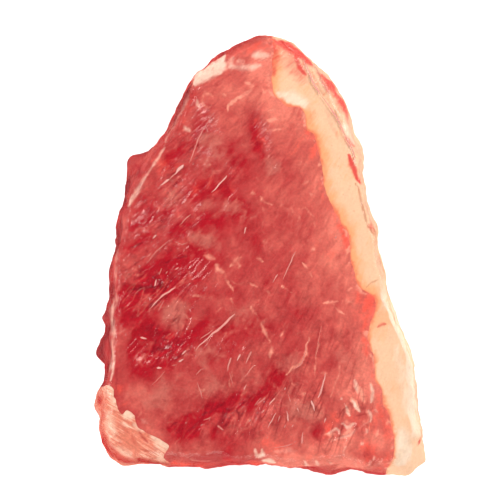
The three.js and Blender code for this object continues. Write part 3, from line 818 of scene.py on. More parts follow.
FAT_BROWN = [
    (0.8, 0.6, [(42.3, 31.4), (44, 26.3), (45.7, 19), (46.8, 15), (48.6, 11), (51, 7)]),
    (0.9, 0.7, [(48.6, 20), (51.6, 8), (54, -2), (56.4, -9.1), (58, -17)]),
    (0.6, 0.4, [(46.8, -15.3), (49.6, -13), (52.4, -11.4)]), (0.6, 0.6, [(33.3, 64.6), (33.9, 61.2)]),
    (0.5, 0.5, [(27.6, 73.6), (30, 69.6)]), (0.5, 0.5, [(25.9, 74.2), (29.1, 70.4)]),
    (0.4, 0.6, [(68, -46), (69.6, -54)]), (0.4, 0.6, [(70.6, -76), (71, -81)]),
    (0.3, 0.5, [(54, -68), (57, -63), (60, -58)]), (0.3, 0.5, [(53, -60), (57, -55)]),
    (0.25, 0.5, [(56, -66), (61, -59)]), (0.25, 0.5, [(52, -50), (56, -45)]),
    (0.25, 0.5, [(51, -44), (54, -40)]), (0.3, 0.5, [(57, -30), (60, -33)]),
]
SPECKS = [
    (23.7, 61.2), (31.6, 48.3), (31, 52.2), (28.2, 54.5), (34.4, 39.3), (29.1, 47.7), (35, 42.6),
    (35.6, 35.3), (40, 30.3), (39.5, 28.6), (36.7, 26.3), (40.6, 24), (41.5, 19), (24, 62.6), (21, 58),
]
# Streaks of blood and of paler fat on the corner.
CORNER_RED_MARKS = [
    (0.7, 0.7, [(-54.5, -79.4), (-50.5, -84)]), (0.6, 0.7, [(-53.3, -87.3), (-48.3, -89)]),
    (0.5, 0.9, [(-58, -81), (-55, -86)]), (1.0, 1.8, [(-73.6, -63.6), (-73, -68)]),
    (1.1, 3.0, [(-73.4, -80), (-70, -87), (-65, -93), (-56, -96.4)]),
    (0.5, 0.8, [(-63, -76), (-59, -80)]), (1.0, 1.8, [(-55, -92.6), (-48, -94.6), (-40, -96)]),
    (0.5, 0.7, [(-49, -86), (-45, -88.6)]), (0.5, 0.6, [(-65, -80), (-61, -88)]),
]
CORNER_PALE_MARKS = [
    (1.0, 1.9, [(-60.6, -71), (-58, -72.6)]), (0.9, 1.8, [(-47.6, -81.8), (-44.4, -84), (-42, -86)]),
    (0.7, 1.2, [(-56, -76), (-52, -79.4)]), (0.7, 1.3, [(-46, -90.6), (-41, -92)]),
    (0.6, 2.4, [(-68, -72), (-66, -80)]), (0.6, 1.4, [(-64, -86), (-58, -90)]),
    (0.6, 1.6, [(-67, -58), (-66, -66)]),
]
# Paler cream on the fat cap; the long mark at the near right end is a painted highlight of the film's glare.
CREAM_AND_GLARE_MARKS = [
    (0.85, 3.2, [(9, 70.6), (14, 69.4), (19, 67.4)]), (0.8, 4.0, [(63, -80), (64, -88), (63, -96)]),
    (0.5, 2.0, [(60, -42), (63, -56), (65, -70)]), (0.6, 2.6, [(38, 57), (41, 50)]),
]
FAT_TONES = [(1.0, (54, -33), (8, 8), 60), (-0.5, (26, 54), (7, 14), -20), (-0.3, (38, 18), (4, 6), 0)]
brown_marks = FAT_BROWN + [(0.55, 0.45, [(x, y), (x + 0.2, y - 0.3)]) for x, y in SPECKS]
print(len(FAT_RED) + len(CORNER_RED_MARKS), "red strokes and", len(brown_marks), "brown")

# %% Paint the fats
CORNER_GRAIN_CENTRE = np.array([-140.0, -30.0])
# Where along the joint the pink rim starts, in mm, and the fade of marks below the rim.
CAP_RIM_FROM, CORNER_RIM_FROM = -15, -300
CAP_FADE, CORNER_FADE = (2, 13), (12, 28)


def paint_fat(piece, seam, red, brown, pale, tones, centre, rim_from, fade):
    """Puts on a fat its marks and how far each point is from the seam and round the rim."""
    points, normal = points_of(piece)
    plan = points - SHIFT
    wall, slope = 1 - ramp(normal[:, 2], 0.0, 0.5), 1 - normal[:, 2]
    xy = wall_warped(plan, normal, 4)
    worn = 0.3 + 0.6 * ramp(layered_noise(plan, 5, 83), -0.2, 0.25)
    reach = over_rim(plan, *fade, 81) * (1 - wall * worn)
    vessels = 0.5 * wall * ramp(0.06 - np.abs(layered_noise(plan * (1, 1, 1.6), 22, 84)), 0, 0.06)
    seam_gap, ragged = from_path(xy, smooth_line(seam, 160))[0], layered_noise(plan, 3.5, 86)
    upper = ramp(xy[:, 1], -48, -12)
    rim = 0.3 + 0.7 * ramp(xy[:, 1], rim_from - 10, rim_from + 10)
    give(piece, "inner", (0.2 + 0.8 * upper) * bell(seam_gap + 1.2 * ragged, 3.6))
    give(piece, "edge", bell(seam_gap, 0.8 + ramp(ragged, -0.1, 0.5)))
    clouds = 0.7 * wall * layered_noise(plan, 14, 85)
    give(piece, "outer", np.maximum(rim, 0.95 * wall) * ramp(slope, 0.12, 0.6) + clouds)
    give(piece, "tone", 0.5 * layered_noise(plan, 8, 71, 4) - 0.2 * (1 - upper) + field(xy, tones))
    give(piece, "red", np.maximum(vessels, reach * marks(xy, red, 5, 0.8, 72, 0.5)))
    give(piece, "brown", reach * marks(xy, brown, 5, 0.6, 73, 0.5))
    cream = 1.3 * (1 - rim) * (1 - wall) * ramp(slope, 0.005, 0.15) * ramp(xy[:, 1], -88, -76)
    give(piece, "pale", np.maximum(cream, reach * marks(xy, pale, 5, 1.0, 74, 0.3)))
    give_grain(piece, plan, centre)
    return len(points)


print("fat points painted:", paint_fat(
    fat_cap, FAT_SEAM, FAT_RED, brown_marks, CREAM_AND_GLARE_MARKS, FAT_TONES, GRAIN_CENTRE, CAP_RIM_FROM, CAP_FADE))
print("corner points painted:", paint_fat(
    corner_fat, CORNER_SEAM, CORNER_RED_MARKS, [], CORNER_PALE_MARKS, [], CORNER_GRAIN_CENTRE,
    CORNER_RIM_FROM, CORNER_FADE))

# %% [markdown]
# ## Meat materials
# All three meats share one habit: under a lens they are mottled and faintly fibrous. That is one shader
# node group, placed in each material with its own strength. The lean then mixes its colours by the painted
# marks, some of which are painted shade, painted highlights and a painted reflection of the film's sheen,
# sharpened with noise so that an edge is finer than the mesh. Light sinks a little way into meat and fat, so
# each has a small subsurface share, and the gloss is left to the film.

# %% Node helpers
def feed(tree, made, sockets):
    """Sets a node's inputs by name or number, each to a plain value or from another node's socket."""
    for name, value in sockets.items():
        if hasattr(value, "is_output"):
            tree.links.new(value, made.inputs[name])
        else:
            made.inputs[name].default_value = value


def node(tree, kind, sockets=None, **settings):
    """A node with its properties and inputs set."""
    made = tree.nodes.new(kind)
    for name, value in settings.items():
        setattr(made, name, value)
    feed(tree, made, sockets or {})
    return made


def math_node(tree, operation, *values):
    """The result of a sum on plain values or sockets."""
    return node(tree, "ShaderNodeMath", dict(enumerate(values)), operation=operation).outputs[0]


def mark(tree, name):
    """A number painted on the points."""
    return node(tree, "ShaderNodeAttribute", attribute_name=name).outputs["Fac"]


def grain_noise(tree, fineness, detail, roughness, distortion):
    """Noise drawn out along the painted grain; its fineness is along, across and down."""
    place = node(tree, "ShaderNodeAttribute", attribute_name="grain")
    drawn = node(tree, "ShaderNodeVectorMath", {0: place.outputs["Vector"], 1: fineness},
                 operation="MULTIPLY")
    return node(tree, "ShaderNodeTexNoise", {
        "Vector": drawn.outputs[0], "Scale": 1.0, "Detail": detail, "Roughness": roughness,
        "Distortion": distortion}).outputs["Fac"]


print("helpers:", [made.__name__ for made in (feed, node, math_node, mark, grain_noise)])

# %% Wet grain group
FLECK_SCALE, FLECK_RELIEF, RELIEF_M = 900.0, 0.15, 0.0012

wet_grain = bpy.data.node_groups.new("wet_grain", "ShaderNodeTree")
for label, value in (("Fibre", 0.5), ("Mottle", 0.5), ("Relief", 0.3)):
    socket = wet_grain.interface.new_socket(label, in_out="INPUT", socket_type="NodeSocketFloat")
    socket.default_value = value
for label, kind in (("Shade", "Float"), ("Fleck", "Float"), ("Normal", "Vector")):
    wet_grain.interface.new_socket(label, in_out="OUTPUT", socket_type="NodeSocket" + kind)
given, result = node(wet_grain, "NodeGroupInput").outputs, node(wet_grain, "NodeGroupOutput")
fibres = grain_noise(wet_grain, (0.11, 0.75, 0.3), 4.0, 0.6, 0.5)
mottle = grain_noise(wet_grain, (0.2, 0.32, 0.3), 3.0, 0.5, 0.6)
spot = node(wet_grain, "ShaderNodeTexCoord").outputs["Object"]
fleck = node(wet_grain, "ShaderNodeTexNoise", {
    "Vector": spot, "Scale": FLECK_SCALE, "Detail": 3.0, "Roughness": 0.6}).outputs["Fac"]
fibre_part = math_node(wet_grain, "MULTIPLY", math_node(wet_grain, "SUBTRACT", fibres, 0.5), given["Fibre"])
mottle_swing = math_node(wet_grain, "SUBTRACT", mottle, 0.5)
shade = math_node(wet_grain, "MULTIPLY_ADD", mottle_swing, given["Mottle"], fibre_part)
height = math_node(wet_grain, "ADD", shade, math_node(wet_grain, "MULTIPLY", fleck, FLECK_RELIEF))
bump = node(wet_grain, "ShaderNodeBump", {
    "Height": height, "Strength": given["Relief"], "Distance": RELIEF_M})
feed(wet_grain, result, {"Shade": shade, "Fleck": fleck, "Normal": bump.outputs["Normal"]})
print("group:", wet_grain.name, len(wet_grain.nodes), "nodes")

# %% Material helpers
FLECK_SHARE, SUNK_LIGHT, SUNK_LIGHT_M = 1.3, 0.12, 0.003


def new_material(name):
    """A material with an empty tree, its Principled shader and its output."""
    made = bpy.data.materials.new(name)
    made.use_nodes = True
    tree = made.node_tree
    tree.nodes.clear()
    shader = node(tree, "ShaderNodeBsdfPrincipled")
    node(tree, "ShaderNodeOutputMaterial", {"Surface": shader.outputs["BSDF"]})
    return made, tree, shader


def place_grain(tree, fibre, mottle, relief):
    """The wet grain group, placed with its strengths."""
    return node(tree, "ShaderNodeGroup", {"Fibre": fibre, "Mottle": mottle, "Relief": relief},
                node_tree=wet_grain).outputs


def soft_step(tree, value, start, end):
    """A value mapped smoothly from 0 at start to 1 at end."""
    return node(tree, "ShaderNodeMapRange", {"Value": value, "From Min": start, "From Max": end},
                interpolation_type="SMOOTHSTEP").outputs["Result"]


def blend(tree, share, base, over):
    """Mix of two colours; each may be a colour or a socket."""
    base, over = (tint if hasattr(tint, "is_output") else (*tint, 1.0) for tint in (base, over))
    return node(tree, "ShaderNodeMix", {"Factor": share, 6: base, 7: over}, data_type="RGBA").outputs[2]


def layered(tree, shade, base, layers):
    """Lays tints over a base, each by a mark: how far grain breaks its edge, start, end and most."""
    colour = base
    for name, wobble, start, end, most, tint in layers:
        broken = math_node(tree, "MULTIPLY_ADD", shade, wobble, mark(tree, name))
        share = math_node(tree, "MULTIPLY", soft_step(tree, broken, start, end), most)
        colour = blend(tree, share, colour, tint)
    return colour


def finish_meat(tree, shader, colour, grain, radius, swing):
    """Links colour, roughness and relief, and lets light sink a little way in."""
    fleck = math_node(tree, "SUBTRACT", grain["Fleck"], 0.5)
    fine = math_node(tree, "MULTIPLY_ADD", fleck, FLECK_SHARE, grain["Shade"])
    value = math_node(tree, "MULTIPLY_ADD", fine, swing, 1.0)
    lively = node(tree, "ShaderNodeHueSaturation", {"Color": colour, "Value": value})
    feed(tree, shader, {
        "Base Color": lively.outputs["Color"], "Normal": grain["Normal"],
        "Roughness": math_node(tree, "MULTIPLY_ADD", grain["Fleck"], 0.25, 0.35), "Specular IOR Level": 0.0,
        "Subsurface Weight": SUNK_LIGHT, "Subsurface Radius": radius, "Subsurface Scale": SUNK_LIGHT_M})


print("material helpers:", [made.__name__ for made in (new_material, layered, finish_meat)])

# %% Lean material
# Some of these colours are painted light and shade: the grey pink is a painted reflection of the film's
# sheen, the darkest red is painted shade in the folds, the dark brown is painted shade on the sides, and the
# pale of the patches is partly painted highlights.
CRIMSON, RED = (0.40, 0.006, 0.015), (0.465, 0.049, 0.046)
ROSE, SALMON = (0.575, 0.100, 0.079), (0.745, 0.185, 0.133)
SHEEN_PINK, BLUSH_RED, VEIN_PALE = (0.52, 0.128, 0.098), (0.84, 0.085, 0.055), (0.86, 0.31, 0.215)
PALE_AND_GLINT, SHADE_RED, SHADE_BROWN = (0.875, 0.545, 0.418), (0.22, 0.004, 0.012), (0.20, 0.014, 0.018)
LEAN_LAYERS = [
    ("tone", 0.24, 0.0, 0.35, 1.0, RED), ("tone", 0.24, 0.3, 0.65, 1.0, ROSE),
    ("tone", 0.24, 0.6, 1.0, 1.0, SALMON), ("painted_sheen", 1.0, 0.1, 0.9, 0.85, SHEEN_PINK),
    ("blush", 0.9, 0.15, 1.1, 0.8, BLUSH_RED), ("vein", 0.6, 0.12, 0.9, 0.9, VEIN_PALE),
    ("fold_shade", 0.6, 0.15, 0.95, 0.85, SHADE_RED), ("pale_and_glint", 0.5, 0.15, 0.85, 0.95, PALE_AND_GLINT),
    ("side_shade", 0.6, 0.1, 0.9, 0.9, SHADE_BROWN),
]
# Fine wrinkles of the film, painted: dark lines as painted shade and pale lines as painted highlights. Each
# is the level of the noise that the wrinkle follows, its half width, its strength and its tint.
WRINKLE_SHADE_AND_GLINTS = [(0.47, 0.07, 0.7, SHADE_RED), (0.6, 0.05, 0.16, VEIN_PALE)]

lean_look, tree, shader = new_material("lean_wet")
grain = place_grain(tree, 0.22, 1.1, 0.5)
colour = layered(tree, grain["Shade"], CRIMSON, LEAN_LAYERS)
waves, wrinkled = grain_noise(tree, (0.05, 0.32, 0.2), 1.0, 0.5, 0.3), mark(tree, "wrinkled")
for middle, half, most, tint in WRINKLE_SHADE_AND_GLINTS:
    gap = math_node(tree, "ABSOLUTE", math_node(tree, "SUBTRACT", waves, middle))
    line = soft_step(tree, math_node(tree, "SUBTRACT", half, gap), 0.0, half)
    share = math_node(tree, "MULTIPLY", math_node(tree, "MULTIPLY", line, wrinkled), most)
    colour = blend(tree, share, colour, tint)
# The brightness swings more where the film is wrinkled, part of the painted shade and highlights there.
swing = math_node(tree, "MULTIPLY_ADD", wrinkled, 0.45, 0.4)
finish_meat(tree, shader, colour, grain, (1.0, 0.25, 0.2), swing)
lean_muscle.data.materials.append(lean_look)
print("lean:", len(tree.nodes), "nodes")

# %% Fat materials
FAT_CREAM, FAT_ORANGE, FAT_PINK = (0.84, 0.51, 0.32), (0.84, 0.36, 0.165), (0.63, 0.33, 0.225)
FAT_RED_TINT, FAT_BROWN_TINT, FAT_EDGE = (0.69, 0.065, 0.055), (0.50, 0.17, 0.08), (0.84, 0.27, 0.125)
FAT_PALE, FAT_FRINGE = (0.86, 0.64, 0.475), (0.80, 0.13, 0.08)
FAT_LAYERS = [
    ("inner", 1.0, 0.1, 1.1, 1.0, FAT_ORANGE), ("tone", 1.8, 0.0, 0.8, 0.5, FAT_ORANGE),
    ("outer", 1.6, 0.2, 1.2, 0.85, FAT_PINK), ("pale", 0.8, 0.1, 0.9, 1.0, FAT_PALE),
    ("edge", 0.5, 0.1, 1.0, 0.8, FAT_EDGE), ("edge", 0.5, 0.6, 1.1, 0.7, FAT_FRINGE),
    ("red", 0.6, 0.15, 0.95, 0.95, FAT_RED_TINT), ("brown", 0.5, 0.15, 0.9, 0.75, FAT_BROWN_TINT),
]
CORNER_PALE, CORNER_SALMON, CORNER_RED = (0.86, 0.52, 0.375), (0.72, 0.205, 0.130), (0.42, 0.022, 0.022)
CORNER_LAYERS = [
    ("tone", 2.6, -0.5, 0.6, 1.0, CORNER_PALE), ("pale", 0.6, 0.1, 0.9, 1.0, CORNER_PALE),
    ("red", 0.6, 0.15, 0.95, 0.95, CORNER_RED), ("outer", 0.8, 0.5, 1.4, 0.7, CORNER_RED),
]


def fat_material(name, strengths, base, layers, radius, swing):
    """A fat's material from the strengths of its grain, its colours and how far light sinks in."""
    made, tree, shader = new_material(name)
    grain = place_grain(tree, *strengths)
    finish_meat(tree, shader, layered(tree, grain["Shade"], base, layers), grain, radius, swing)
    return made


fat_look = fat_material("fat_cream", (0.8, 0.7, 0.4), FAT_CREAM, FAT_LAYERS, (1.0, 0.6, 0.4), 0.22)
corner_look = fat_material(
    "fat_streaky", (1.0, 0.6, 0.4), CORNER_SALMON, CORNER_LAYERS, (1.0, 0.5, 0.35), 0.5)
fat_cap.data.materials.append(fat_look)
corner_fat.data.materials.append(corner_look)
print("fats:", fat_look.name, corner_look.name)

# %% [markdown]
# ## The film
# The film is a clear skin a hair outside the meat. It bridges the creases, so it is smoother than what lies
# under it, and it stands in a stretched ridge down the upper left and in folds on the fat side. Giving the
# meat a glossy coat would be simpler, but then the gloss would follow every crease. A separate shell keeps
# the two surfaces apart. It is clear, with a small share of gloss that is stored on each point.

# %% Film shell
# Heights and sizes in mm.
FILM_LIFT, FILM_LUMP, RIDGE_HEIGHT = 0.12, 0.2, 0.45
FILM_GRID, FILM_RINGS = 240, 18
# Share of gloss on the cut face, and how much less there is on the side.
MIRROR, MIRROR_LOSS = 0.02, 0.008
# Stretched ridges and folds, as strokes.
RIDGES = [
    (1.0, 1.3, [(-22, 90), (-31, 75), (-39, 56), (-47, 40), (-56, 28), (-60, 20)]),
    (0.7, 1.1, [(-66.4, -22), (-66.4, -38), (-66.6, -50), (-68, -60)]),
    (0.7, 1.0, [(20, 86), (23, 79), (24.4, 71)]), (0.7, 1.0, [(26, 76), (30, 68), (33, 60)]),
    (0.7, 1.0, [(36, 57), (39, 50), (42, 44)]), (0.8, 1.0, [(39, 45), (41, 39), (44, 33), (46, 28)]),
    (0.9, 1.2, [(6, 98), (8, 93), (9, 88)]), (0.7, 1.0, [(10.6, 95), (15, 89), (17.4, 83), (20, 80)]),
]

turn, rho, up, film_faces = skin_layout(FILM_GRID, FILM_RINGS)
shrink_film = mesh_object("shrink_film", skin(turn, rho, up, sunk=0.5) + SHIFT, film_faces)
points, normal = points_of(shrink_film)
plan = points - SHIFT
face = ramp(normal[:, 2], 0.1, 0.6)
lift = FILM_LIFT + FILM_LUMP * layered_noise(plan, LUMP_SIZE, LUMP_SEED) + wall_lumps(plan, normal)
lift += face * (folds(plan) + RIDGE_HEIGHT * marks(plan[:, :2], RIDGES, 8, 0.6, seed=82))
move_skin(shrink_film, points, normal, lift)
give_grain(shrink_film, plan)
give(shrink_film, "mirror", MIRROR - MIRROR_LOSS * ramp(-normal[:, 2], -0.8, -0.2))
crinkled = 0.12 + 0.88 * np.minimum(field(plan[:, :2], CRINKLED), 1)
give(shrink_film, "crinkle", np.maximum(crinkled, ramp(-normal[:, 2], -0.97, -0.8)))
print("film:", len(points), "points, lift in mm", np.round((lift.min(), lift.max()), 2))

# %% Film material
CRINKLE_M, GLOSS_TINT = 0.0018, (1.0, 0.80, 0.74, 1.0)

film_look = bpy.data.materials.new("film_clear")
film_look.use_nodes = True
tree = film_look.node_tree
tree.nodes.clear()
wrinkle = grain_noise(tree, (0.1, 0.5, 0.2), 2.0, 0.5, 0.6)
crinkle = node(tree, "ShaderNodeBump", {
    "Height": wrinkle, "Strength": mark(tree, "crinkle"), "Distance": CRINKLE_M})
gloss = node(tree, "ShaderNodeBsdfGlossy", {
    "Color": GLOSS_TINT, "Roughness": 0.16, "Normal": crinkle.outputs["Normal"]})
clear = node(tree, "ShaderNodeBsdfTransparent")
wet = node(tree, "ShaderNodeMixShader", {0: mark(tree, "mirror"), 1: clear.outputs[0], 2: gloss.outputs[0]})
node(tree, "ShaderNodeOutputMaterial", {"Surface": wet.outputs[0]})
shrink_film.data.materials.append(film_look)
print("film material:", len(tree.nodes), "nodes")

# %% [markdown]
# ## Creases in the film
# Where the film is pinched it stands in a fine ridge, and the glint on that ridge shows as a short bright
# streak, thick at one end. The streak's colour is a painted highlight, from faint pink to near white. Each
# streak that can be seen is named by its path. Painting them would be simpler, but they stand a little
# proud. Geometry Nodes drop the paths on the film with a ray cast and sink them by half their width. They
# give each a round section as wide as its point says and set the material, so the streaks follow the film
# even if its shape is changed.

# %% Crease paths
# Each is the brightness of a painted highlight from 0 to 1, a half width in mm and a path that ends at its
# thick end.
GLINT_CREASES = [
    (0.9, 0.55, [(-45, 30.3), (-41, 33.2)]), (1.0, 0.8, [(-38.8, 35.4), (-36.5, 38.1), (-34.6, 39.8)]),
    (0.7, 0.3, [(-41, 33), (-38.7, 35.9)]),
    (0.6, 0.32, [(-21.3, 62.9), (-26.9, 53.9), (-29.7, 46.6), (-32, 40.4)]),
    (0.95, 0.42, [(-22.1, 27.2), (-18.7, 30.8), (-15.1, 35)]),
    (0.5, 0.35, [(-36.5, 12.3), (-31.4, 17.3)]), (0.85, 0.5, [(-48.4, 6.8), (-46.8, 8.4)]),
    (0.4, 0.28, [(-52.2, -5.7), (-47.7, -0.1), (-41.5, 5.5)]),
    (0.4, 0.28, [(-38.7, 5.5), (-35.9, 4.1), (-33.1, 4.9)]), (0.7, 0.5, [(-38.4, -7.1), (-36.8, -6.3)]),
    (0.7, 0.35, [(-42.3, -8.9), (-41.6, -7.7)]), (0.5, 0.3, [(-45.5, -9.7), (-44, -6.3)]),
    (0.95, 0.45, [(-46.6, -11.4), (-47.4, -14.5)]),
    (0.78, 0.5, [(-50, -24.9), (-46, -20.9), (-42.1, -17.6), (-38.1, -15.3)]),
    (0.5, 0.26, [(-46, -26), (-43.2, -20.9)]), (0.8, 0.5, [(-7.8, 8.9), (-6.4, 11.7)]),
    (0.8, 0.55, [(-29.1, -42.9), (-25.2, -38.9), (-18.5, -33.3), (-11.7, -27.1)]),
    (0.6, 0.3, [(-27.5, -38.4), (-21.3, -33.9)]), (0.85, 0.6, [(-50.8, -37.8), (-53.9, -37.2)]),
    (0.5, 0.3, [(-47.4, -36), (-46.8, -35)]), (0.95, 0.55, [(-34.5, -47), (-36.5, -48.2)]),
    (0.9, 0.45, [(-35.3, -45.1), (-33.4, -43.4)]), (0.6, 0.4, [(-42, -46.4), (-41, -45.8)]),
    (0.6, 0.3, [(-44.9, -47.2), (-44.3, -46.2)]), (0.95, 0.6, [(-44, -51.2), (-46.4, -51)]),
    (0.5, 0.3, [(-51.8, -53.2), (-51, -52.6)]), (0.4, 0.28, [(-39.8, -49.8), (-37.6, -49.4)]),
    (0.35, 0.26, [(-49.4, -59.2), (-42.6, -52.4)]),
    (0.4, 0.3, [(-24.6, -51), (-26.9, -51.9), (-28.9, -54.1)]),
    (0.5, 0.32, [(-28.3, -57.5), (-27.5, -60.3), (-26.3, -64.2)]),
    (0.65, 0.45, [(-14.8, -52.4), (-14.5, -49.6), (-13.1, -46.2)]),
    (0.35, 0.3, [(-12.5, -58.6), (-14, -53)]), (0.9, 0.4, [(-10.6, -47.9), (-9.2, -44.6)]),
    (0.6, 0.55, [(-6.9, -48.8), (-4.4, -43.4)]), (0.5, 0.35, [(-7.8, -55.2), (-3, -49.6)]),
    (0.7, 0.36, [(-6.6, -58), (-8, -60.9)]), (0.5, 0.3, [(-3.3, -68.2), (0.1, -64.2)]),
    (0.7, 0.45, [(-13.2, -71.4), (-12.4, -70.6)]), (0.45, 0.9, [(-16.8, -78.8), (-19.4, -76.5)]),
    (0.5, 0.3, [(-25.8, -74.4), (-22.4, -72.7)]), (0.8, 0.42, [(3.5, -67.6), (6.3, -64.2)]),
    (0.6, 0.35, [(-2.1, -67.6), (1.8, -64.2)]), (0.8, 0.45, [(0.8, -71), (1.6, -69.8)]),
    (0.7, 0.45, [(-5.4, -75), (-4.6, -73.8)]), (0.7, 0.45, [(-9.9, -77), (-9.1, -76.2)]),
    (0.5, 0.35, [(-0.2, -78.9), (0.4, -78.3)]), (0.5, 0.35, [(-8.6, -80.9), (-8, -80.3)]),
    (0.6, 0.4, [(-1.3, -84.2), (-0.7, -83.6)]), (0.6, 0.4, [(2.6, -82.5), (3.2, -81.9)]),
    (0.8, 0.36, [(2.9, -77.7), (6.9, -71)]), (0.5, 0.3, [(7.4, -75), (8.6, -72)]),
    (0.85, 0.45, [(11.4, -69.9), (11.9, -74.9)]), (0.7, 0.4, [(16.6, -70.2), (16.2, -68.4)]),
    (0.8, 0.45, [(10.6, -60.8), (11, -59.8)]), (0.5, 0.3, [(11.9, -62.5), (13, -66)]),
    (0.6, 0.4, [(10.2, -77.8), (11, -76.4)]), (0.6, 0.36, [(13.6, -77.6), (14.4, -76.2)]),
    (0.6, 0.6, [(18.7, -79.4), (18.1, -85)]), (0.7, 0.5, [(14.4, -84.3), (15.2, -83.5)]),
    (0.5, 0.32, [(5.2, -86.7), (9.6, -86), (14.2, -84.5)]),
    (0.85, 0.5, [(28.8, -53), (26.6, -61.4), (25.2, -64.4)]),
    (0.95, 0.55, [(23.7, -70.4), (22.6, -65.4)]), (0.6, 0.4, [(35.4, -64.6), (35.9, -63.8)]),
    (0.7, 0.45, [(28, -75.4), (28.6, -73.2)]), (0.65, 0.36, [(9.7, -11.9), (13, -4), (15.3, 1)]),
    (0.7, 0.36, [(5.2, -13), (7.4, -9.1)]), (0.7, 0.45, [(33, 6.6), (33.6, 7.8)]),
    (0.6, 0.4, [(5.4, -36.5), (6, -35.7)]), (0.5, 0.3, [(21.2, -37.8), (18.7, -47.4), (14.2, -51.9)]),
    (0.3, 0.3, [(26.6, -31.6), (24.3, -46.8)]), (0.8, 0.5, [(18.7, 88.2), (22.6, 78.6), (26.6, 71.3)]),
    (0.75, 0.4, [(26.6, 71.3), (33.9, 61.2), (37.2, 53.9)]),
    (0.75, 0.45, [(15, 90.8), (12, 93.5), (9, 97)]), (0.7, 0.4, [(37.2, 53.9), (40.6, 47), (42.4, 41)]),
    (0.6, 0.4, [(24, 85.6), (27.6, 77), (31, 71)]), (0.8, 0.4, [(-56.6, 25), (-52.4, 32.4)]),
]


# Sizes in mm; the lines start above the joint and are dropped on it later.
CREASE_STEPS, DROP_FROM, CREASE_GAIN = 9, 90.0, 1.5
CREASE_RAGGED, CREASE_UNEVEN = 0.35, 0.4


def crease_lines(creases, steps=CREASE_STEPS):
    """One mesh of edges above the joint, with half width and the brightness of its painted highlight stored
    on its points.
    """
    points, edges, half, white = [], [], [], []
    share = np.linspace(0, 1, steps + 1)
    swell, ends = 0.45 + 0.55 * share, np.clip(4 * share * (1 - share), 0.02, 1) ** 0.4
    for glint_brightness, wide, path in creases:
        run = smooth_line(path, steps) if len(path) > 2 else np.linspace(path[0], path[1], steps + 1)
        level = flat(run)
        run = run + CREASE_RAGGED * wander(level, 2.5, (91, 92))
        uneven = 1 + CREASE_UNEVEN * layered_noise(level, 1.8, seed=93)
        edges += [(len(points) + i, len(points) + i + 1) for i in range(steps)]
        points += [(x, y, DROP_FROM) for x, y in run + SHIFT[:2]]
        half += (CREASE_GAIN * wide * swell * uneven * ends).tolist()
        white += [glint_brightness] * (steps + 1)
    lines = bpy.data.objects.new("film_creases", bpy.data.meshes.new("film_creases"))
    lines.data.from_pydata((np.array(points) * MM).tolist(), edges, [])
    bpy.context.scene.collection.objects.link(lines)
    give(lines, "half", np.array(half) * MM)
    give(lines, "white", white)
    return lines


film_creases = crease_lines(GLINT_CREASES)
print(len(GLINT_CREASES), "creases,", len(film_creases.data.vertices), "points")

# %% Creases by Geometry Nodes
CREASE_SPACING, SUNK_SHARE, RAY_M, CREASE_SIDES = 0.6 * MM, -0.5, 0.2, 8

crease_maker = bpy.data.node_groups.new("crease_maker", "GeometryNodeTree")
for label, way, kind in (
    ("Lines", "INPUT", "NodeSocketGeometry"), ("Film", "INPUT", "NodeSocketObject"),
    ("Spacing", "INPUT", "NodeSocketFloat"), ("Look", "INPUT", "NodeSocketMaterial"),
    ("Creases", "OUTPUT", "NodeSocketGeometry"),
):
    crease_maker.interface.new_socket(label, in_out=way, socket_type=kind)
given, result = node(crease_maker, "NodeGroupInput").outputs, node(crease_maker, "NodeGroupOutput")
curves = node(crease_maker, "GeometryNodeMeshToCurve", {"Mesh": given["Lines"]})
even = node(crease_maker, "GeometryNodeResampleCurve", {
    "Curve": curves.outputs["Curve"], "Length": given["Spacing"]}, mode="LENGTH")
film_info = node(crease_maker, "GeometryNodeObjectInfo", {"Object": given["Film"]})
drop = node(crease_maker, "GeometryNodeRaycast", {
    "Target Geometry": film_info.outputs["Geometry"], "Ray Direction": (0.0, 0.0, -1.0), "Ray Length": RAY_M})
width = node(crease_maker, "GeometryNodeInputNamedAttribute", {"Name": "half"}).outputs["Attribute"]
sunk = node(crease_maker, "ShaderNodeCombineXYZ", {
    "Z": math_node(crease_maker, "MULTIPLY", width, SUNK_SHARE)})
settled = node(crease_maker, "GeometryNodeSetPosition", {
    "Geometry": even.outputs["Curve"], "Selection": drop.outputs["Is Hit"],
    "Position": drop.outputs["Hit Position"], "Offset": sunk.outputs["Vector"]})
section = node(crease_maker, "GeometryNodeCurvePrimitiveCircle", {"Resolution": CREASE_SIDES, "Radius": 1.0})
swept = node(crease_maker, "GeometryNodeCurveToMesh", {
    "Curve": settled.outputs["Geometry"], "Profile Curve": section.outputs["Curve"], "Scale": width,
    "Fill Caps": True})
single = node(crease_maker, "GeometryNodeRealizeInstances", {"Geometry": swept.outputs["Mesh"]})
dressed = node(crease_maker, "GeometryNodeSetMaterial", {
    "Geometry": single.outputs["Geometry"], "Material": given["Look"]})
feed(crease_maker, result, {"Creases": dressed.outputs["Geometry"]})
print("crease tree:", len(crease_maker.nodes), "nodes")

# %% Crease material
# The streaks' colours are painted highlights, from faint pink to near white.
GLINT_FAINT, GLINT_BRIGHT = (0.66, 0.16, 0.125), (0.80, 0.40, 0.345)

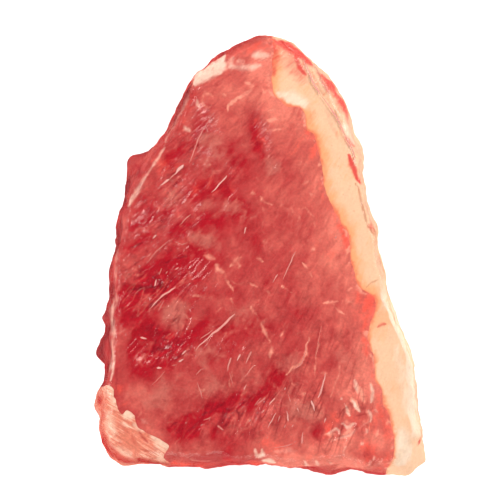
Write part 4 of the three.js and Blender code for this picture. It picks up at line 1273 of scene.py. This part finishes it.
crease_look, tree, shader = new_material("film_crease")
white = mark(tree, "white")
spot = node(tree, "ShaderNodeTexCoord").outputs["Object"]
flecks = node(tree, "ShaderNodeTexNoise", {"Vector": spot, "Scale": 1200.0}).outputs["Fac"]
feed(tree, shader, {
    "Base Color": blend(tree, math_node(tree, "POWER", white, 2.0), GLINT_FAINT, GLINT_BRIGHT),
    "Roughness": math_node(tree, "MULTIPLY_ADD", flecks, 0.2, 0.3), "Specular IOR Level": 0.2})
slant = node(tree, "ShaderNodeLayerWeight", {"Blend": 0.5}).outputs["Facing"]
facing = math_node(tree, "SUBTRACT", 1.0, soft_step(tree, slant, 0.0, 0.55))
solid = math_node(tree, "MULTIPLY", facing, math_node(tree, "MULTIPLY_ADD", white, 0.6, 0.3))
clear = node(tree, "ShaderNodeBsdfTransparent").outputs[0]
thin = node(tree, "ShaderNodeMixShader", {0: solid, 1: clear, 2: shader.outputs[0]})
feed(tree, tree.nodes["Material Output"], {"Surface": thin.outputs[0]})
print("crease material:", len(tree.nodes), "nodes")

# %% Run the tree and keep a plain mesh
def settle(made, tree, values):
    """Runs a Geometry Nodes tree with its inputs set by identifier, and keeps a plain mesh."""
    maker = made.modifiers.new(tree.name, "NODES")
    maker.node_group = tree
    for item in tree.interface.items_tree:
        if item.in_out == "INPUT" and item.name in values:
            maker[item.identifier] = values[item.name]
    mesh = bpy.data.meshes.new_from_object(made.evaluated_get(bpy.context.evaluated_depsgraph_get()))
    made.modifiers.clear()
    made.data = mesh
    mesh.shade_smooth()
    return mesh


crease_mesh = settle(film_creases, crease_maker, {
    "Film": shrink_film, "Spacing": CREASE_SPACING, "Look": crease_look})
print("creases:", len(crease_mesh.vertices), "points,", len(crease_mesh.polygons), "faces, materials",
      [m.name for m in crease_mesh.materials if m])

# %% [markdown]
# ## Floor, light and camera
# The joint lies on a plain white surface and is seen from straight above. An image of a studio could light
# it, but lights of named size and place are easier to move. Broad lights at the upper right, the left and
# the near side and a bright sky keep the shadows soft, and a small lamp at the upper left draws the glints
# on the film. The near light has little gloss, or it would show as a pale band along the near rim.

# %% Floor
FLOOR_HALF = 3000
corners = [(-FLOOR_HALF, -FLOOR_HALF, 0), (FLOOR_HALF, -FLOOR_HALF, 0),
           (FLOOR_HALF, FLOOR_HALF, 0), (-FLOOR_HALF, FLOOR_HALF, 0)]
floor = mesh_object("floor", corners, [(0, 1, 2, 3)])
floor_look, tree, shader = new_material("floor_white")
paper = node(tree, "ShaderNodeTexNoise", {"Scale": 40.0, "Detail": 2.0}).outputs["Fac"]
feed(tree, shader, {
    "Base Color": blend(tree, paper, (0.90, 0.90, 0.90), (0.93, 0.93, 0.93)), "Roughness": 0.9,
    "Emission Color": (1.0, 1.0, 1.0, 1.0), "Emission Strength": 0.7})
floor.data.materials.append(floor_look)
print("floor:", floor_look.name)

# %% Lights
# Name, place in metres, side in metres, watts and share of gloss.
LIGHTS = [
    ("upper_right", (0.9, 0.8, 0.85), 0.6, 15, 1.0), ("left", (-1.1, 0.15, 0.75), 0.45, 8, 1.0),
    ("near", (-0.2, -1.25, 0.75), 0.8, 9, 0.25), ("glint", (-0.45, 0.5, 1.3), 0.15, 2.6, 1.0),
]
SKY_STRENGTH = 0.38


def softbox(name, place_m, size_m, watts, shine):
    """A square area light that faces the joint, with its share of gloss."""
    lamp = bpy.data.lights.new(name, "AREA")
    lamp.specular_factor = shine
    lamp.size, lamp.energy = size_m, watts
    made = bpy.data.objects.new(name, lamp)
    made.location = place_m
    away = -np.array(place_m) / np.linalg.norm(place_m)
    made.rotation_euler = (math.acos(-away[2]), 0, math.atan2(-away[0], away[1]))
    bpy.context.scene.collection.objects.link(made)


for light in LIGHTS:
    softbox(*light)
sky = bpy.data.worlds.new("sky")
sky.use_nodes = True
feed(sky.node_tree, sky.node_tree.nodes["Background"], {"Color": (1, 1, 1, 1), "Strength": SKY_STRENGTH})
bpy.context.scene.world = sky
bpy.context.scene.view_settings.view_transform = "Standard"
print("lights:", [light[0] for light in LIGHTS])

# %% Camera
PHOTO_MM_ACROSS, CAMERA_HEIGHT, RIM_HEIGHT = 225.0, 1500.0, 40
FRAME_MIDDLE = np.array([-4.95, 1.58])
lens = bpy.data.cameras.new("camera")
lens.angle = 2 * math.atan(PHOTO_MM_ACROSS / 2 / (CAMERA_HEIGHT - RIM_HEIGHT))
camera = bpy.data.objects.new("camera", lens)
camera.location = (*((FRAME_MIDDLE + SHIFT[:2]) * MM), CAMERA_HEIGHT * MM)
bpy.context.scene.collection.objects.link(camera)
bpy.context.scene.camera = camera
print("camera", [round(v, 4) for v in camera.location], "angle", round(math.degrees(lens.angle), 2))

# %% [markdown]
# ## Joining the frame
# The finished pieces ride on the part's only body. Each meat takes the place of its solid, which is hidden,
# and the film and its creases come on top. Parenting by hand would hold them as well; these calls parent
# each piece to the body and hide the solids.

# %% Join the pieces to the frame
for piece, cad_node, slot in (
    (lean_muscle, "lean_muscle", "lean_meat"),
    (fat_cap, "fat_cap", "white_fat"),
    (corner_fat, "corner_fat", "pink_fat"),
):
    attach(piece, "root")
    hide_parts(cad_node)
for piece in (shrink_film, film_creases):
    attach(piece, "root")
bpy.context.view_layer.update()
